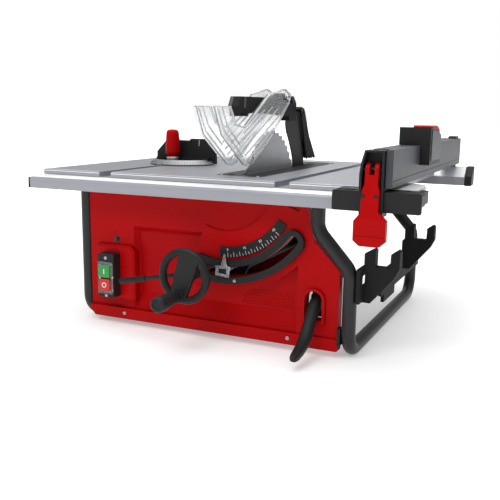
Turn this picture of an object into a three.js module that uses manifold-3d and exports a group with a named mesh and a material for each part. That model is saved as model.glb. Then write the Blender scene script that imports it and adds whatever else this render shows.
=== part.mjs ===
// Benchtop table saw: cast table, tube frame, moulded base, sliding rip fence, mitre gauge, blade guard,
// and the tilting and lifting blade unit. Millimetres, +Z up, +X right, +Y away from the operator.
// The design frame has its corner at the table's front left corner, on the floor. The whole group is moved
// at the end, so that the origin is the middle of the saw's box, on the floor.
import * as THREE from 'three';
import { mergeVertices } from 'three/addons/utils/BufferGeometryUtils.js';
import Module from 'manifold-3d';

const wasm = await Module();
wasm.setup();

// ---------------------------------------------------------------- driving dimensions
const GAP = 0.3; // air between pieces that touch

const TABLE = { width: 665, depth: 560, top: 305, thick: 10 };
const SLOT = { left: 147.5, right: 511, half: 9.75, depth: 9.5, mouthHalf: 13.5, mouth: 12 };
const THROAT = { x0: 350, x1: 445, y0: 60, y1: 498, ledge: 8, seat: 4.3 };

const RAIL = { left: -19, right: 731, bottom: 268, top: 291.5, front: -20, back: 36 };
const REAR_RAIL = { front: 562, back: 600, bottom: 262, top: 302 };
const CAP_LEFT = -25;
const CAP_RIGHT = 750;

const TUBE = { radius: 12.7, sides: 12, bend: 38, perBend: 4, rear: 515 };
const LEFT_LEG = { x: 73.5, front: 40 };
const RIGHT_LEG = { x: 630, topX: 569, front: 27 };

const PANEL = { left: 87.3, right: 611, bottom: 12, top: 263.5, front: 30, floor: 42, back: 45 };
const PIVOT = { x: 390, z: 305 }; // bevel axis, in the table's surface
const BEVEL_SLOT = { radius: 172, half: 9.5, from: -17, to: 53, rim: 22 };

const BLADE = { radius: 127, x: 393, thick: 2.4, y: 225, z: 258, teeth: 40, gullet: 5 };
const WHEEL = { x: 355, z: 136.6, rimY: -60, rimRadius: 43.5, rimTube: 7 };
const GRIP = { x: 343, z: 100, front: -133, back: -68.3, radius: 14.5 };
const GEAR_APEX_Y = 118;

const SHIELD = { left: 375.5, right: 409.5, half: 1.5, pivotY: 262, pivotZ: 450, pin: 4 };
const PAWL_PIVOT = { y: 390, z: 422, r: 3.5 };

const FENCE = { x0: 672, x1: 710, z0: 309, z1: 367, front: -20.3, back: 604, wall: 3 };
const FENCE_END = 616;
const HEAD = { left: 615, right: 756, front: -45, bottom: 271, top: 303 };
const CAM = { x: 679.5, y: -41, z: 337, pin: 3.5 };
const BLOCK = { front: 150, back: 250, top: 398.3 };

const MITRE = { pivotX: 147.5, pivotY: 250, base: 305.6 };
const ROCKER = { x0: 128, x1: 165, z0: 60, z1: 147, front: -8 };
const LOCK_PIVOT = { x: 566, y: 52, z: 98 };
const POCKET = { x: 566, z: 100, radius: 16, bottom: 64, rim: 5 };

const ORIGIN = {
  x: (CAP_LEFT + HEAD.right) / 2,
  y: (GRIP.front + FENCE_END) / 2,
};

// ---------------------------------------------------------------- materials
const paint = (color, roughness, metalness = 0) =>
  new THREE.MeshStandardMaterial({ color, roughness, metalness });
const CAST = paint(0x9a9ca4, 0.4, 0.8);
const BRIGHT = paint(0xc4c6cc, 0.35, 0.9);
const RED = paint(0xc01616, 0.45);
const BLACK = paint(0x232525, 0.55);
const TUBE_PAINT = paint(0x37393a, 0.5, 0.3);
const FENCE_PAINT = paint(0x55585f, 0.45, 0.5);
const STEEL = paint(0x8d8f92, 0.4, 0.9);
const CLEAR = new THREE.MeshStandardMaterial({ color: 0xe8ecec, roughness: 0.1, opacity: 0.35, transparent: true });
const GREEN = paint(0x2f9a4a, 0.4);

// ---------------------------------------------------------------- solids and booleans
function toSolid(geometry) {
  if (geometry instanceof wasm.Manifold) return geometry;
  const bare = new THREE.BufferGeometry();
  bare.setAttribute('position', geometry.getAttribute('position').clone());
  if (geometry.index) bare.setIndex(geometry.index.clone());
  const merged = mergeVertices(bare, 1e-4);
  const build = (flip) => {
    const tri = Uint32Array.from(merged.index.array);
    if (flip) for (let i = 0; i < tri.length; i += 3) [tri[i], tri[i + 1]] = [tri[i + 1], tri[i]];
    const vertProperties = Float32Array.from(merged.getAttribute('position').array);
    return new wasm.Manifold(new wasm.Mesh({ numProp: 3, vertProperties, triVerts: tri }));
  };
  const solid = build(false);
  return solid.volume() < 0 ? build(true) : solid;
}
const join = (first, ...rest) => rest.reduce((sum, g) => sum.add(toSolid(g)), toSolid(first));
const cut = (first, ...rest) => rest.reduce((sum, g) => sum.subtract(toSolid(g)), toSolid(first));
const meet = (a, b) => toSolid(a).intersect(toSolid(b));

function toGeometry(shape) {
  const mesh = toSolid(shape).getMesh();
  const geometry = new THREE.BufferGeometry();
  const position = new Float32Array(mesh.numVert * 3);
  for (let i = 0; i < mesh.numVert; i++) {
    for (let k = 0; k < 3; k++) position[3 * i + k] = mesh.vertProperties[mesh.numProp * i + k];
  }
  geometry.setAttribute('position', new THREE.BufferAttribute(position, 3));
  geometry.setIndex(new THREE.BufferAttribute(Uint32Array.from(mesh.triVerts), 1));
  geometry.computeVertexNormals();
  return geometry;
}

const box = (x0, x1, y0, y1, z0, z1) =>
  new THREE.BoxGeometry(x1 - x0, y1 - y0, z1 - z0).translate((x0 + x1) / 2, (y0 + y1) / 2, (z0 + z1) / 2);

function outline(points, holes = []) {
  const shape = new THREE.Shape(points.map(([u, v]) => new THREE.Vector2(u, v)));
  for (const hole of holes) shape.holes.push(new THREE.Path(hole.map(([u, v]) => new THREE.Vector2(u, v))));
  return shape;
}
function extrude(points, depth, { holes = [], chamfer = 0 } = {}) {
  const settings = chamfer
    ? { depth: depth - 2 * chamfer, bevelEnabled: true, bevelSegments: 1, bevelThickness: chamfer,
        bevelSize: chamfer, bevelOffset: -chamfer }
    : { depth, bevelEnabled: false };
  const geometry = new THREE.ExtrudeGeometry(outline(points, holes), { steps: 1, ...settings });
  return geometry.translate(0, 0, chamfer);
}
const alongZ = (points, z0, z1, options) => extrude(points, z1 - z0, options).translate(0, 0, z0);
// points are (x, z), extruded from y0 to y1
const alongY = (points, y0, y1, options) =>
  extrude(points, y1 - y0, options).rotateX(Math.PI / 2).translate(0, y1, 0);
// points are (y, z), extruded from x0 to x1
const AXES_X = new THREE.Matrix4().makeBasis(
  new THREE.Vector3(0, 1, 0), new THREE.Vector3(0, 0, 1), new THREE.Vector3(1, 0, 0));
const alongX = (points, x0, x1, options) =>
  extrude(points, x1 - x0, options).applyMatrix4(AXES_X).translate(x0, 0, 0);

// a cylinder or cone between two points
function rod(from, to, r0, r1 = r0, sides = 20) {
  const a = new THREE.Vector3(...from);
  const b = new THREE.Vector3(...to);
  const axis = b.clone().sub(a);
  const geometry = new THREE.CylinderGeometry(r1, r0, axis.length(), sides);
  const turn = new THREE.Quaternion().setFromUnitVectors(new THREE.Vector3(0, 1, 0), axis.clone().normalize());
  return geometry.applyQuaternion(turn).translate(...a.add(b).multiplyScalar(0.5).toArray());
}
// a turned piece: profile of (radius, height) from axis to axis, with the height along direction from base
function turned(profile, base, direction, sides = 24) {
  const geometry = new THREE.LatheGeometry(profile.map(([r, h]) => new THREE.Vector2(r, h)), sides);
  const turn = new THREE.Quaternion().setFromUnitVectors(new THREE.Vector3(0, 1, 0), new THREE.Vector3(...direction));
  return geometry.applyQuaternion(turn).translate(...base);
}

const radians = (degrees) => degrees * Math.PI / 180;
// points of an arc in a plane, angles in degrees from straight down, positive towards +u
function arc(cu, cv, radius, from, to, steps) {
  return Array.from({ length: steps + 1 }, (_, i) => {
    const a = radians(from + (to - from) * i / steps);
    return [cu + radius * Math.sin(a), cv - radius * Math.cos(a)];
  });
}
const circle = (cu, cv, radius, sides = 24) => arc(cu, cv, radius, 0, 360 - 360 / sides, sides - 1);
// a band of a ring, as one closed outline
const band = (cu, cv, inner, outer, from, to, steps) =>
  [...arc(cu, cv, outer, from, to, steps), ...arc(cu, cv, inner, to, from, steps)];
// the same with round ends, as a curved slot
function curvedSlot(cu, cv, radius, half, from, to, steps) {
  const end = (angle, start, stop) => {
    const u = cu + radius * Math.sin(radians(angle));
    const v = cv - radius * Math.cos(radians(angle));
    return arc(u, v, half, start, stop, 5);
  };
  return [
    ...arc(cu, cv, radius + half, from, to, steps), ...end(to, to + 18, to + 162),
    ...arc(cu, cv, radius - half, to, from, steps), ...end(from, from + 198, from + 342),
  ];
}
function roundedBox(u0, u1, v0, v1, r, steps = 3) {
  return [
    ...arc(u1 - r, v0 + r, r, 0, 90, steps), ...arc(u1 - r, v1 - r, r, 90, 180, steps),
    ...arc(u0 + r, v1 - r, r, 180, 270, steps), ...arc(u0 + r, v0 + r, r, 270, 360, steps),
  ];
}

// a path through stations, so that straight runs take one step and bends take several
class StationPath extends THREE.Curve {
  constructor(stations) {
    super();
    this.stations = stations;
  }
  getPoint(t) {
    const last = this.stations.length - 1;
    const i = Math.min(Math.floor(t * last + 1e-6), last - 1);
    return this.stations[i].clone().lerp(this.stations[i + 1], t * last - i);
  }
  getPointAt(u) {
    return this.getPoint(u);
  }
  getTangentAt(u) {
    const last = this.stations.length - 1;
    const i = Math.round(u * last);
    const before = this.stations[Math.max(i - 1, 0)];
    const after = this.stations[Math.min(i + 1, last)];
    return after.clone().sub(before).normalize();
  }
}
function bendStations(corners, radius, perBend) {
  const points = corners.map((c) => new THREE.Vector3(...c));
  const stations = [points[0]];
  for (let i = 1; i < points.length - 1; i++) {
    const back = points[i - 1].clone().sub(points[i]).normalize();
    const on = points[i + 1].clone().sub(points[i]).normalize();
    const half = back.angleTo(on) / 2;
    const reach = radius / Math.tan(half);
    const centre = points[i].clone().add(back.clone().add(on).normalize().multiplyScalar(radius / Math.sin(half)));
    const start = points[i].clone().addScaledVector(back, reach).sub(centre);
    const turn = Math.PI - 2 * half;
    const axis = start.clone().cross(points[i].clone().addScaledVector(on, reach).sub(centre)).normalize();
    for (let k = 0; k <= perBend; k++) {
      stations.push(start.clone().applyAxisAngle(axis, turn * k / perBend).add(centre));
    }
  }
  stations.push(points[points.length - 1]);
  return stations;
}
function pipe(corners, radius, { bend, perBend, sides }) {
  const stations = bendStations(corners, bend, perBend);
  const ring = outline(arc(0, 0, radius, 180 / sides, 360 - 180 / sides, sides - 1));
  return new THREE.ExtrudeGeometry(ring, {
    steps: stations.length - 1, bevelEnabled: false, extrudePath: new StationPath(stations),
  });
}

// a spur gear's outline, with straight-sided teeth
function gearOutline(cu, cv, pitch, teeth, rise, fall) {
  const step = 360 / teeth;
  const corners = [[-0.31, -fall], [-0.1, rise], [0.1, rise], [0.31, -fall]];
  const points = [];
  for (let i = 0; i < teeth; i++) {
    for (const [turn, lift] of corners) {
      points.push(arc(cu, cv, pitch + lift, (i + turn) * step, 0, 1)[0]);
    }
  }
  return points;
}
// a mitre gear with its apex at the origin, opening along -Y
function mitreGear(teeth, outer, inner, phase) {
  let gear = toSolid(turned([[0, -outer - 8], [9, -outer - 8], [9, -outer - 1.5], [outer - 1.6, -outer - 1.5],
    [inner - 1.6, -inner - 1.5], [0, -inner - 1.5]], [0, 0, 0], [0, 1, 0], 28));
  for (let i = 0; i < teeth; i++) {
    const tooth = new THREE.BoxGeometry(1, 1, 1);
    const position = tooth.getAttribute('position');
    for (let k = 0; k < position.count; k++) {
      const r = position.getX(k) > 0 ? outer : inner;
      const high = position.getZ(k) > 0;
      const side = (high ? 0.9 : -3) * Math.SQRT1_2;
      const wide = (high ? 0.055 : 0.115) * r * Math.sign(position.getY(k));
      position.setXYZ(k, wide, side - r, r + side);
    }
    tooth.rotateY(2 * Math.PI * (i + phase) / teeth);
    gear = join(gear, tooth);
  }
  return gear;
}

const saw = new THREE.Group();
function part(name, shape, material) {
  const mesh = new THREE.Mesh(toGeometry(shape), material);
  mesh.name = name;
  saw.add(mesh);
}

// ---------------------------------------------------------------- table, insert and rails
function tableTop() {
  const bottom = TABLE.top - TABLE.thick;
  let top = toSolid(box(0, TABLE.width, 0, TABLE.depth, bottom, TABLE.top));
  for (const x of [SLOT.left, SLOT.right]) {
    top = join(top, box(x - 14, x + 14, 0, TABLE.depth, bottom - 2.7, bottom + 1));
  }
  for (const [x0, x1] of [[0, 4], [298, 303], [477, 482], [TABLE.width - 4, TABLE.width]]) {
    top = join(top, box(x0, x1, 48, 550, bottom - 12, bottom + 1));
  }
  for (const x of [SLOT.left, SLOT.right]) {
    const floor = TABLE.top - SLOT.depth;
    const mouth = [[x - SLOT.mouthHalf, -1], [x + SLOT.mouthHalf, -1], [x + SLOT.half, SLOT.mouth],
      [x - SLOT.half, SLOT.mouth]];
    top = cut(top, box(x - SLOT.half, x + SLOT.half, -1, TABLE.depth + 1, floor, TABLE.top + 1),
      alongZ(mouth, floor, TABLE.top + 1));
  }
  const { x0, x1, y0, y1, ledge, seat } = THROAT;
  return cut(top, alongZ(roundedBox(x0, x1, y0, y1, 12), TABLE.top - seat, TABLE.top + 1),
    alongZ(roundedBox(x0 + ledge, x1 - ledge, y0 + ledge, y1 - ledge, 8), bottom - 1, TABLE.top + 1));
}
part('table_top', tableTop(), CAST);

function throatInsert() {
  const { x0, x1, y0, y1 } = THROAT;
  const plate = alongZ(roundedBox(x0 + 0.4, x1 - 0.4, y0 + 0.4, y1 - 0.4, 11.6), TABLE.top - 4, TABLE.top);
  const bladeSlot = alongZ(roundedBox(BLADE.x - 3.5, BLADE.x + 8.5, 95, 418, 4), 290, 310);
  const fingerHole = rod([375, 82, 290], [375, 82, 310], 8);
  return cut(plate, bladeSlot, fingerHole);
}
part('throat_insert', throatInsert(), BLACK);

// the front rail's top slopes down to a small groove and lip along its front edge
const railSection = [
  [RAIL.front, RAIL.bottom], [RAIL.back, RAIL.bottom], [RAIL.back, RAIL.top], [-0.8, RAIL.top],
  [-0.8, RAIL.top + 2.7],
  [RAIL.front + 4, RAIL.top - 2.3], [RAIL.front + 3, RAIL.top - 3.6], [RAIL.front + 2, RAIL.top - 2.2],
  [RAIL.front, RAIL.top - 4.5],
];
const railHollow = [
  [RAIL.front + 3, RAIL.bottom + 3], [RAIL.back - 3, RAIL.bottom + 3], [RAIL.back - 3, RAIL.top - 3],
  [0, RAIL.top - 3], [RAIL.front + 5, RAIL.top - 7],
];
// a flat plate on the rail's right end stands level with the table beside it
const PLATE = { left: 668, right: 741, front: 0.5, top: 303, thick: 6 };
function frontRail() {
  const { left, right, front, top, thick } = PLATE;
  const plate = [[left, front], [right, front], [right, 60], [731, 101], [711, 119], [left, 119]];
  return join(alongX(railSection, RAIL.left, RAIL.right, { holes: [railHollow] }),
    alongZ(plate, top - thick, top), box(left, RAIL.right, front, RAIL.back, RAIL.top - 0.5, top - thick + 1));
}
part('front_rail', frontRail(), BRIGHT);

const { front: rearFront, back: rearBack, bottom: rearBottom, top: rearTop } = REAR_RAIL;
const rearSection = [
  [rearFront, rearBottom], [rearBack, rearBottom], [rearBack, rearTop], [rearFront + 24, rearTop],
  [rearFront, rearBottom + 18],
];
const rearHollow = [
  [rearFront + 3, rearBottom + 3], [rearBack - 3, rearBottom + 3], [rearBack - 3, rearTop - 3],
  [rearFront + 25.5, rearTop - 3], [rearFront + 3, rearBottom + 16.5],
];
part('rear_rail', alongX(rearSection, RAIL.left, RAIL.right, { holes: [rearHollow] }), BRIGHT);

const capSection = [[RAIL.front, RAIL.bottom], [RAIL.back, RAIL.bottom], [RAIL.back, RAIL.top],
  [RAIL.front + 1, RAIL.top - 3]];
const rearCapSection = [[rearFront - 1, rearBottom - 1], [rearBack + 1, rearBottom - 1], [rearBack + 1, rearTop + 2],
  [rearFront + 23, rearTop + 2], [rearFront - 1, rearBottom + 21]];
function frontCapRight() {
  const start = RAIL.right + GAP;
  const seat = box(start, CAP_RIGHT, RAIL.front + 1, RAIL.back, 281, PLATE.top - PLATE.thick - GAP);
  const rimTop = PLATE.top - 2;
  return join(seat, box(PLATE.right + 0.4, CAP_RIGHT, RAIL.front + 1, RAIL.back, 281, rimTop),
    box(start, CAP_RIGHT, RAIL.front + 1, PLATE.front - 0.4, 281, rimTop));
}
part('front_rail_cap_left', alongX(capSection, CAP_LEFT, RAIL.left - GAP, { chamfer: 1.5 }), BLACK);
part('front_rail_cap_right', frontCapRight(), BLACK);
part('rear_rail_cap_left', alongX(rearSection, CAP_LEFT, RAIL.left - GAP, { chamfer: 1.5 }), BLACK);
part('rear_rail_cap_right', alongX(rearCapSection, RAIL.right + GAP, CAP_RIGHT - 3, { chamfer: 1.5 }), BLACK);

// angle brackets that carry the rails; they hang from the table between its slot channels
function railBracket(flange, web, flangeTop) {
  let bracket = join(box(60, 600, flange[0], flange[1], flangeTop - 3.7, flangeTop),
    box(60, 600, web[0], web[1], flangeTop - 1, 291.8));
  for (const [x0, x1] of [[60, 130], [165, 490], [530, 600]]) {
    bracket = join(bracket, box(x0, x1, web[0], web[1], 290, TABLE.top - TABLE.thick - GAP));
  }
  return bracket;
}
part('front_rail_bracket', railBracket([10, 54], [38, 43], RAIL.bottom - GAP), STEEL);
part('rear_rail_bracket', railBracket([540, 596], [553, 558], REAR_RAIL.bottom - GAP), STEEL);

// ---------------------------------------------------------------- frame tubes and storage bracket
const frontTop = RAIL.bottom - GAP - 4;
const rearTopZ = REAR_RAIL.bottom - GAP - 4;
function frameTube(bottomX, topX, legFront) {
  const { radius, rear: legRear, sides } = TUBE;
  const floorRun = radius * Math.cos(Math.PI / sides); // a flat facet of the tube lies on the floor
  const straight = bottomX === topX;
  const shoulder = (y) => straight ? [] : [[topX, y, 224], [bottomX, y, 156]];
  const corners = [
    [topX, legFront, frontTop], ...shoulder(legFront), [bottomX, legFront, floorRun], [bottomX, legRear, floorRun],
    ...shoulder(legRear).reverse(), [topX, legRear, rearTopZ],
  ];
  return pipe(corners, radius, { bend: TUBE.bend, perBend: TUBE.perBend, sides: TUBE.sides });
}
part('frame_tube_left', frameTube(LEFT_LEG.x, LEFT_LEG.x, LEFT_LEG.front), TUBE_PAINT);
part('frame_tube_right', frameTube(RIGHT_LEG.x, RIGHT_LEG.topX, RIGHT_LEG.front), TUBE_PAINT);

// two open cradles on a plate that runs along the outside of the right frame loop
function toolBracket() {
  const side = RIGHT_LEG.x + TUBE.radius + GAP;
  const cradle = [
    [side, 101], [side + 17.5, 101], [side + 37, 124], [side + 57, 148], [side + 65.5, 165], [side + 65.5, 193],
    [side + 61, 197], [side + 50, 189], [side + 49.5, 165], [side + 24, 165], [side + 24, 194], [side + 20, 196],
    [side + 4.8, 187], [side + 4.8, 165], [side, 160],
  ];
  const mount = box(side, side + 6, 16, 110, 104, 164);
  const plate = box(side, side + 6, 100, 505, 104, 129);
  const lowerPlate = box(side, side + 6, 170, 505, 82, 105);
  const tab = box(side, side + 6, 190, 277, 66, 83);
  const window = alongX(roundedBox(34, 98, 130, 150, 6), side - 1, side + 7);
  const notch = box(side - 1, side + 5, 40, 66, 131, 149);
  return cut(join(mount, plate, lowerPlate, tab, alongY(cradle, 44, 62), alongY(cradle, 352, 370)), window, notch);
}
part('tool_bracket', toolBracket(), BLACK);
part('leg_bumper', box(PANEL.right + GAP, RIGHT_LEG.x - TUBE.radius - GAP, 20, 40, 24, 54), BLACK);

// ---------------------------------------------------------------- moulded base
const slopeRight = (inset) => [[PANEL.right - inset, PANEL.bottom], [PANEL.right - inset, 155], [562 - inset, 204],
  [548 - inset, PANEL.top]];
const panelOutline = [[PANEL.left, PANEL.bottom + 12], [PANEL.left + 12, PANEL.bottom], ...slopeRight(0),
  [PANEL.left, PANEL.top]];
function frontPanel() {
  const { left, bottom, top, front, floor, back } = PANEL;
  const leftPlan = [[left, front], [190, front], [199, floor], [199, floor + 1], [left, floor + 1]];
  const leftBlock = meet(alongZ(leftPlan, bottom, top), alongY(panelOutline, 0, 60));
  const topBand = alongX([[front, top], [front, 200], [floor, 191], [floor + 1, 191], [floor + 1, top]], 180, 536);
  const rightBlock = alongY([[534, bottom], ...slopeRight(0), [534, top]], 26, floor + 1);
  const fan = meet(alongY(band(PIVOT.x, PIVOT.z, 98, 206, -24, 70, 24), 26, floor + 1),
    box(300, 536, 0, 60, 60, top));
  const ledge = meet(alongX([[front, bottom], [front, 36], [floor + 1, 72], [back, 72], [back, bottom]], left, 536),
    alongY(panelOutline, 0, 60));
  const switchSeat = alongY([[110, 52], [197, 52], [197, 150], [188, 161], [110, 161]], 18, floor, { chamfer: 4 });
  const lowerFace = meet(alongX([[22, bottom], [22, 34], [floor, 34], [floor, bottom]], left, 640),
    alongY(panelOutline, 0, 60));
  const archway = (half, floorZ) => [...arc(POCKET.x, POCKET.z, half, 90, 270, 8), [POCKET.x - half, floorZ],
    [POCKET.x + half, floorZ]];
  const pocketRim = alongY(archway(POCKET.radius + POCKET.rim, POCKET.bottom - 6), 21, 30);
  let panel = join(alongY(panelOutline, floor, back), leftBlock, topBand, rightBlock, fan, ledge, switchSeat,
    lowerFace, pocketRim);
  const slot = curvedSlot(PIVOT.x, PIVOT.z, BEVEL_SLOT.radius, BEVEL_SLOT.half, BEVEL_SLOT.from, BEVEL_SLOT.to, 20);
    panel = cut(panel, alongY(slot, 0, 60), alongY(archway(POCKET.radius, POCKET.bottom), 0, 60),
    alongY([[418, 74], [528, 74], [528, 104], [436, 104]], floor - 1, floor + 1.2));
  // the moulding is a shell: its thick places are hollow from behind
  const hollows = [
    box(left + 4, 104, 34, back + 1, 40, top - 6), box(108, 190, 24, back + 1, 60, 150),
    box(108, 190, 34, back + 1, 166, top - 6), box(204, 340, 34, back + 1, 206, top - 6),
    box(538, 546, 30, back + 1, bottom + 6, top - 14),
  ];
  return cut(panel, ...hollows);
}
part('front_panel', frontPanel(), RED);

// behind the front panel: a left side, a floor pan and a rear sheet; the right side stays open, for the tilting unit
const wallY = [PANEL.back + GAP, 510];
const PAN = { right: 412, bottom: 22, thick: 3 };
part('left_panel', box(PANEL.left, PANEL.left + 3, ...wallY, PAN.bottom, 262), RED);
part('base_pan', box(PANEL.left + 3 + GAP, PAN.right, ...wallY, PAN.bottom, PAN.bottom + PAN.thick), BLACK);

const PORT = { x: 240, z: 95, radius: 32 };
function rearPanel() {
  const y0 = wallY[1] + GAP;
  const sheet = box(PANEL.left, PAN.right + 3, y0, y0 + 4, PAN.bottom, rearTopZ - 2);
  const vents = Array.from({ length: 7 }, (_, i) => box(300, 395, y0 - 1, y0 + 5, 120 + 14 * i, 126 + 14 * i));
  const hole = rod([PORT.x, 500, PORT.z], [PORT.x, 530, PORT.z], PORT.radius + 0.5, PORT.radius + 0.5, 28);
  return cut(sheet, hole, ...vents);
}
part('rear_panel', rearPanel(), RED);
function dustPort() {
  const y = wallY[1] + GAP + 4 + GAP;
  const body = join(rod([PORT.x, 486, PORT.z], [PORT.x, 566, PORT.z], PORT.radius, PORT.radius, 28),
    rod([PORT.x, y, PORT.z], [PORT.x, y + 4, PORT.z], 42, 42, 28));
  return cut(body, rod([PORT.x, 480, PORT.z], [PORT.x, 570, PORT.z], PORT.radius - 3, PORT.radius - 3, 28));
}
part('dust_port', dustPort(), BLACK);

// ---------------------------------------------------------------- slot rim and switch
function slotRim() {
  const { radius, half, rim, from, to } = BEVEL_SLOT;
  const outer = curvedSlot(PIVOT.x, PIVOT.z, radius, rim, from, to - 1, 20);
  const inner = curvedSlot(PIVOT.x, PIVOT.z, radius, half, from, to, 20);
  return alongY(outer, 16, 26 - GAP, { holes: [inner] });
}
part('bevel_slot_rim', slotRim(), BLACK);

const BUTTON_X = [134, 159];
const BUTTONS = { stop: [74, 98], start: [101, 125] };
const BUTTON_GAP = 0.6;
const buttonHole = (bottom, top, y0, y1) => box(BUTTON_X[0] - BUTTON_GAP, BUTTON_X[1] + BUTTON_GAP, y0, y1,
  bottom - BUTTON_GAP, top + BUTTON_GAP);
function switchBox() {
  const { x0, x1, z0, z1, front } = ROCKER;
  const body = alongY(roundedBox(x0, x1, z0, z1, 3, 2), front + 4, 18 - GAP);
  const pockets = Object.values(BUTTONS).map(([bottom, top]) => buttonHole(bottom, top, front, front + 15));
  return cut(body, ...pockets);
}
part('switch_box', switchBox(), BLACK);
function switchBezel() {
  const plate = alongY(roundedBox(ROCKER.x0 + 2, ROCKER.x1 - 2, 68, 131, 2, 2), ROCKER.front, ROCKER.front + 4 - GAP);
  return cut(plate, buttonHole(BUTTONS.stop[0], BUTTONS.start[1], -20, 0));
}
part('switch_bezel', switchBezel(), CLEAR);
const button = ([bottom, top]) =>
  alongY(roundedBox(...BUTTON_X, bottom, top, 2, 2), ROCKER.front - 3, ROCKER.front + 9);
part('start_button', button(BUTTONS.start), GREEN);
part('stop_button', button(BUTTONS.stop), RED);

// ---------------------------------------------------------------- rail lock lever
function railLock() {
  const { x, y, z } = LOCK_PIVOT;
  const side = [
    [y + 9, z + 2], [y + 7, z + 9], [y, z + 12], [y - 12, z + 8], [y - 28, z - 4], [y - 42, z - 18],
    [y - 54, z - 32], [y - 68, z - 48], [y - 92, z - 61], [y - 122, z - 69], [y - 127, z - 77], [y - 122, z - 85],
    [y - 94, z - 79], [y - 72, z - 69], [y - 58, z - 56], [y - 46, z - 40], [y - 36, z - 30], [y - 26, z - 24],
    [y - 8, z - 18], [y + 4, z - 10],
  ];
  const blade = alongX(side, x - 10.5, x + 10.5);
  return join(blade, rod([x - 13, y, z], [x + 13, y, z], 6));
}
part('rail_lock_lever', railLock(), BLACK);

// ---------------------------------------------------------------- rip fence
const tube = ({ x0, x1, z0, z1 }, inset) =>
  [[x0 + inset, z0 + inset], [x1 - inset, z0 + inset], [x1 - inset, z1 - inset], [x0 + inset, z1 - inset]];
function fenceBeam() {
  const { front, back, wall, x0, x1, z0, z1 } = FENCE;
  const shell = alongY(tube(FENCE, 0), front, back, { holes: [tube(FENCE, wall)] });
  const grooves = [x0 - 1, x1 - 1].map((x) => box(x, x + 2, -50, back + 1, z0 + 10, z0 + 12.5));
  const cheek = box(699, x1, -44, front + 4, z0, z1);
  return cut(join(shell, cheek), ...grooves);
}
part('fence_beam', fenceBeam(), FENCE_PAINT);

function fenceHead() {
  const { left, right, front, bottom, top } = HEAD;
  const seatY = RAIL.front - 0.4;
  const wing = (x0, x1) => join(alongY(roundedBox(x0, x1, bottom, top, 3, 2), front, seatY),
    box(x0 + 2, Math.min(x1, RAIL.right) - 2, front + 8, -2, RAIL.top + 3.5, top));
  const leftWing = cut(wing(left, 668), box(620, 652, front + 6, front + 22, top - 6, top + 1));
  const rightWing = cut(wing(690, right), box(RAIL.right + 2, right + 4, front + 4, seatY + 5, bottom - 1, 283));
  const tower = alongY([[661, 264], [698, 264], [698, 366], [667, 366], [662, 348], [659.5, 330], [659.5, 300]],
    -51, FENCE.front - GAP);
  const recess = alongY([[664.6, 255], [694.6, 255], [694.6, 363], [669.5, 363], [665.5, 346], [663.5, 330],
    [663.5, 300]], -60, -30);
  const pin = rod([662, CAM.y, CAM.z], [696, CAM.y, CAM.z], CAM.pin);
  return join(cut(join(leftWing, tower, rightWing), recess), pin);
}
part('fence_head', fenceHead(), BLACK);
part('scale_lens', box(621, 651, HEAD.front + 7, HEAD.front + 21, HEAD.top - 5.7, HEAD.top - 2), CLEAR);

function fenceRearClamp() {
  const plate = alongY(tube(FENCE, 0.3), FENCE.back + GAP, FENCE_END, { chamfer: 2 });
  return join(plate, box(680, 702, FENCE.back + GAP, FENCE_END - 3, 262, 312),
    box(680, 702, REAR_RAIL.back + 0.8, FENCE.back + 1, 262, 300));
}
part('fence_rear_clamp', fenceRearClamp(), BLACK);
part('fence_top_pad', alongX([[556, FENCE.z1 + GAP], [594, FENCE.z1 + GAP], [592, 372.5], [558, 372.5]],
  FENCE.x1 - 20, FENCE.x1 - 3), BLACK);

function fenceLever() {
  const { x, y, z, pin } = CAM;
  const faceY = -62;
  const lobes = rod([x - 10.5, y, z], [x + 10.5, y, z], 10);
  const neckSide = [[y - 9.8, z + 2], [y + 3, z - 9], [-49, 286], [-52, 276], [-52, 224], [-57, 219], [faceY, 226],
    [faceY, 262], [-56, 300]];
  const neckFront = [[x - 10.5, z + 8], [x - 10.5, 314], [x - 13.7, 304], [x - 13.7, 271], [x - 23.5, 258],
    [x - 23.5, 228], [x - 13, 219], [x + 18, 219], [x + 28, 228], [x + 28, 260], [x + 13.7, 273], [x + 13.7, 304], [x + 10.5, 314],
    [x + 10.5, z + 8]];
  const body = meet(alongX(neckSide, x - 30, x + 30), alongY(neckFront, -70, -30));
  return cut(join(lobes, body), box(x - 4, x + 4, -60, -20, z - 8, z + 12),
    rod([x - 15, y, z], [x + 15, y, z], pin + GAP));
}
part('fence_lever', fenceLever(), RED);

function fenceBlock() {
  const { front, back, top } = BLOCK;
  const side = [[front, FENCE.z1 + 0.4], [back, FENCE.z1 + 0.4], [back, 384], [back - 36, 392.8], [front, top]];
  const saddle = alongX(side, FENCE.x0, FENCE.x1 + 17);
  const cheek = alongX([[front, 333], [back, 333], [back, 370], [front, 370]], FENCE.x1 + 0.4, FENCE.x1 + 17);
  return join(saddle, cheek);
}
part('fence_block', fenceBlock(), BLACK);
function blockLatch() {
  const side = [[188, 395.7], [214, 393.4], [251, 384.7], [262, 386], [262, 391], [256, 396], [230, 400.6], [192, 400.8],
    [188, 399]];
  return alongX(side, 688, 722);
}
part('block_latch', blockLatch(), RED);

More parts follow.
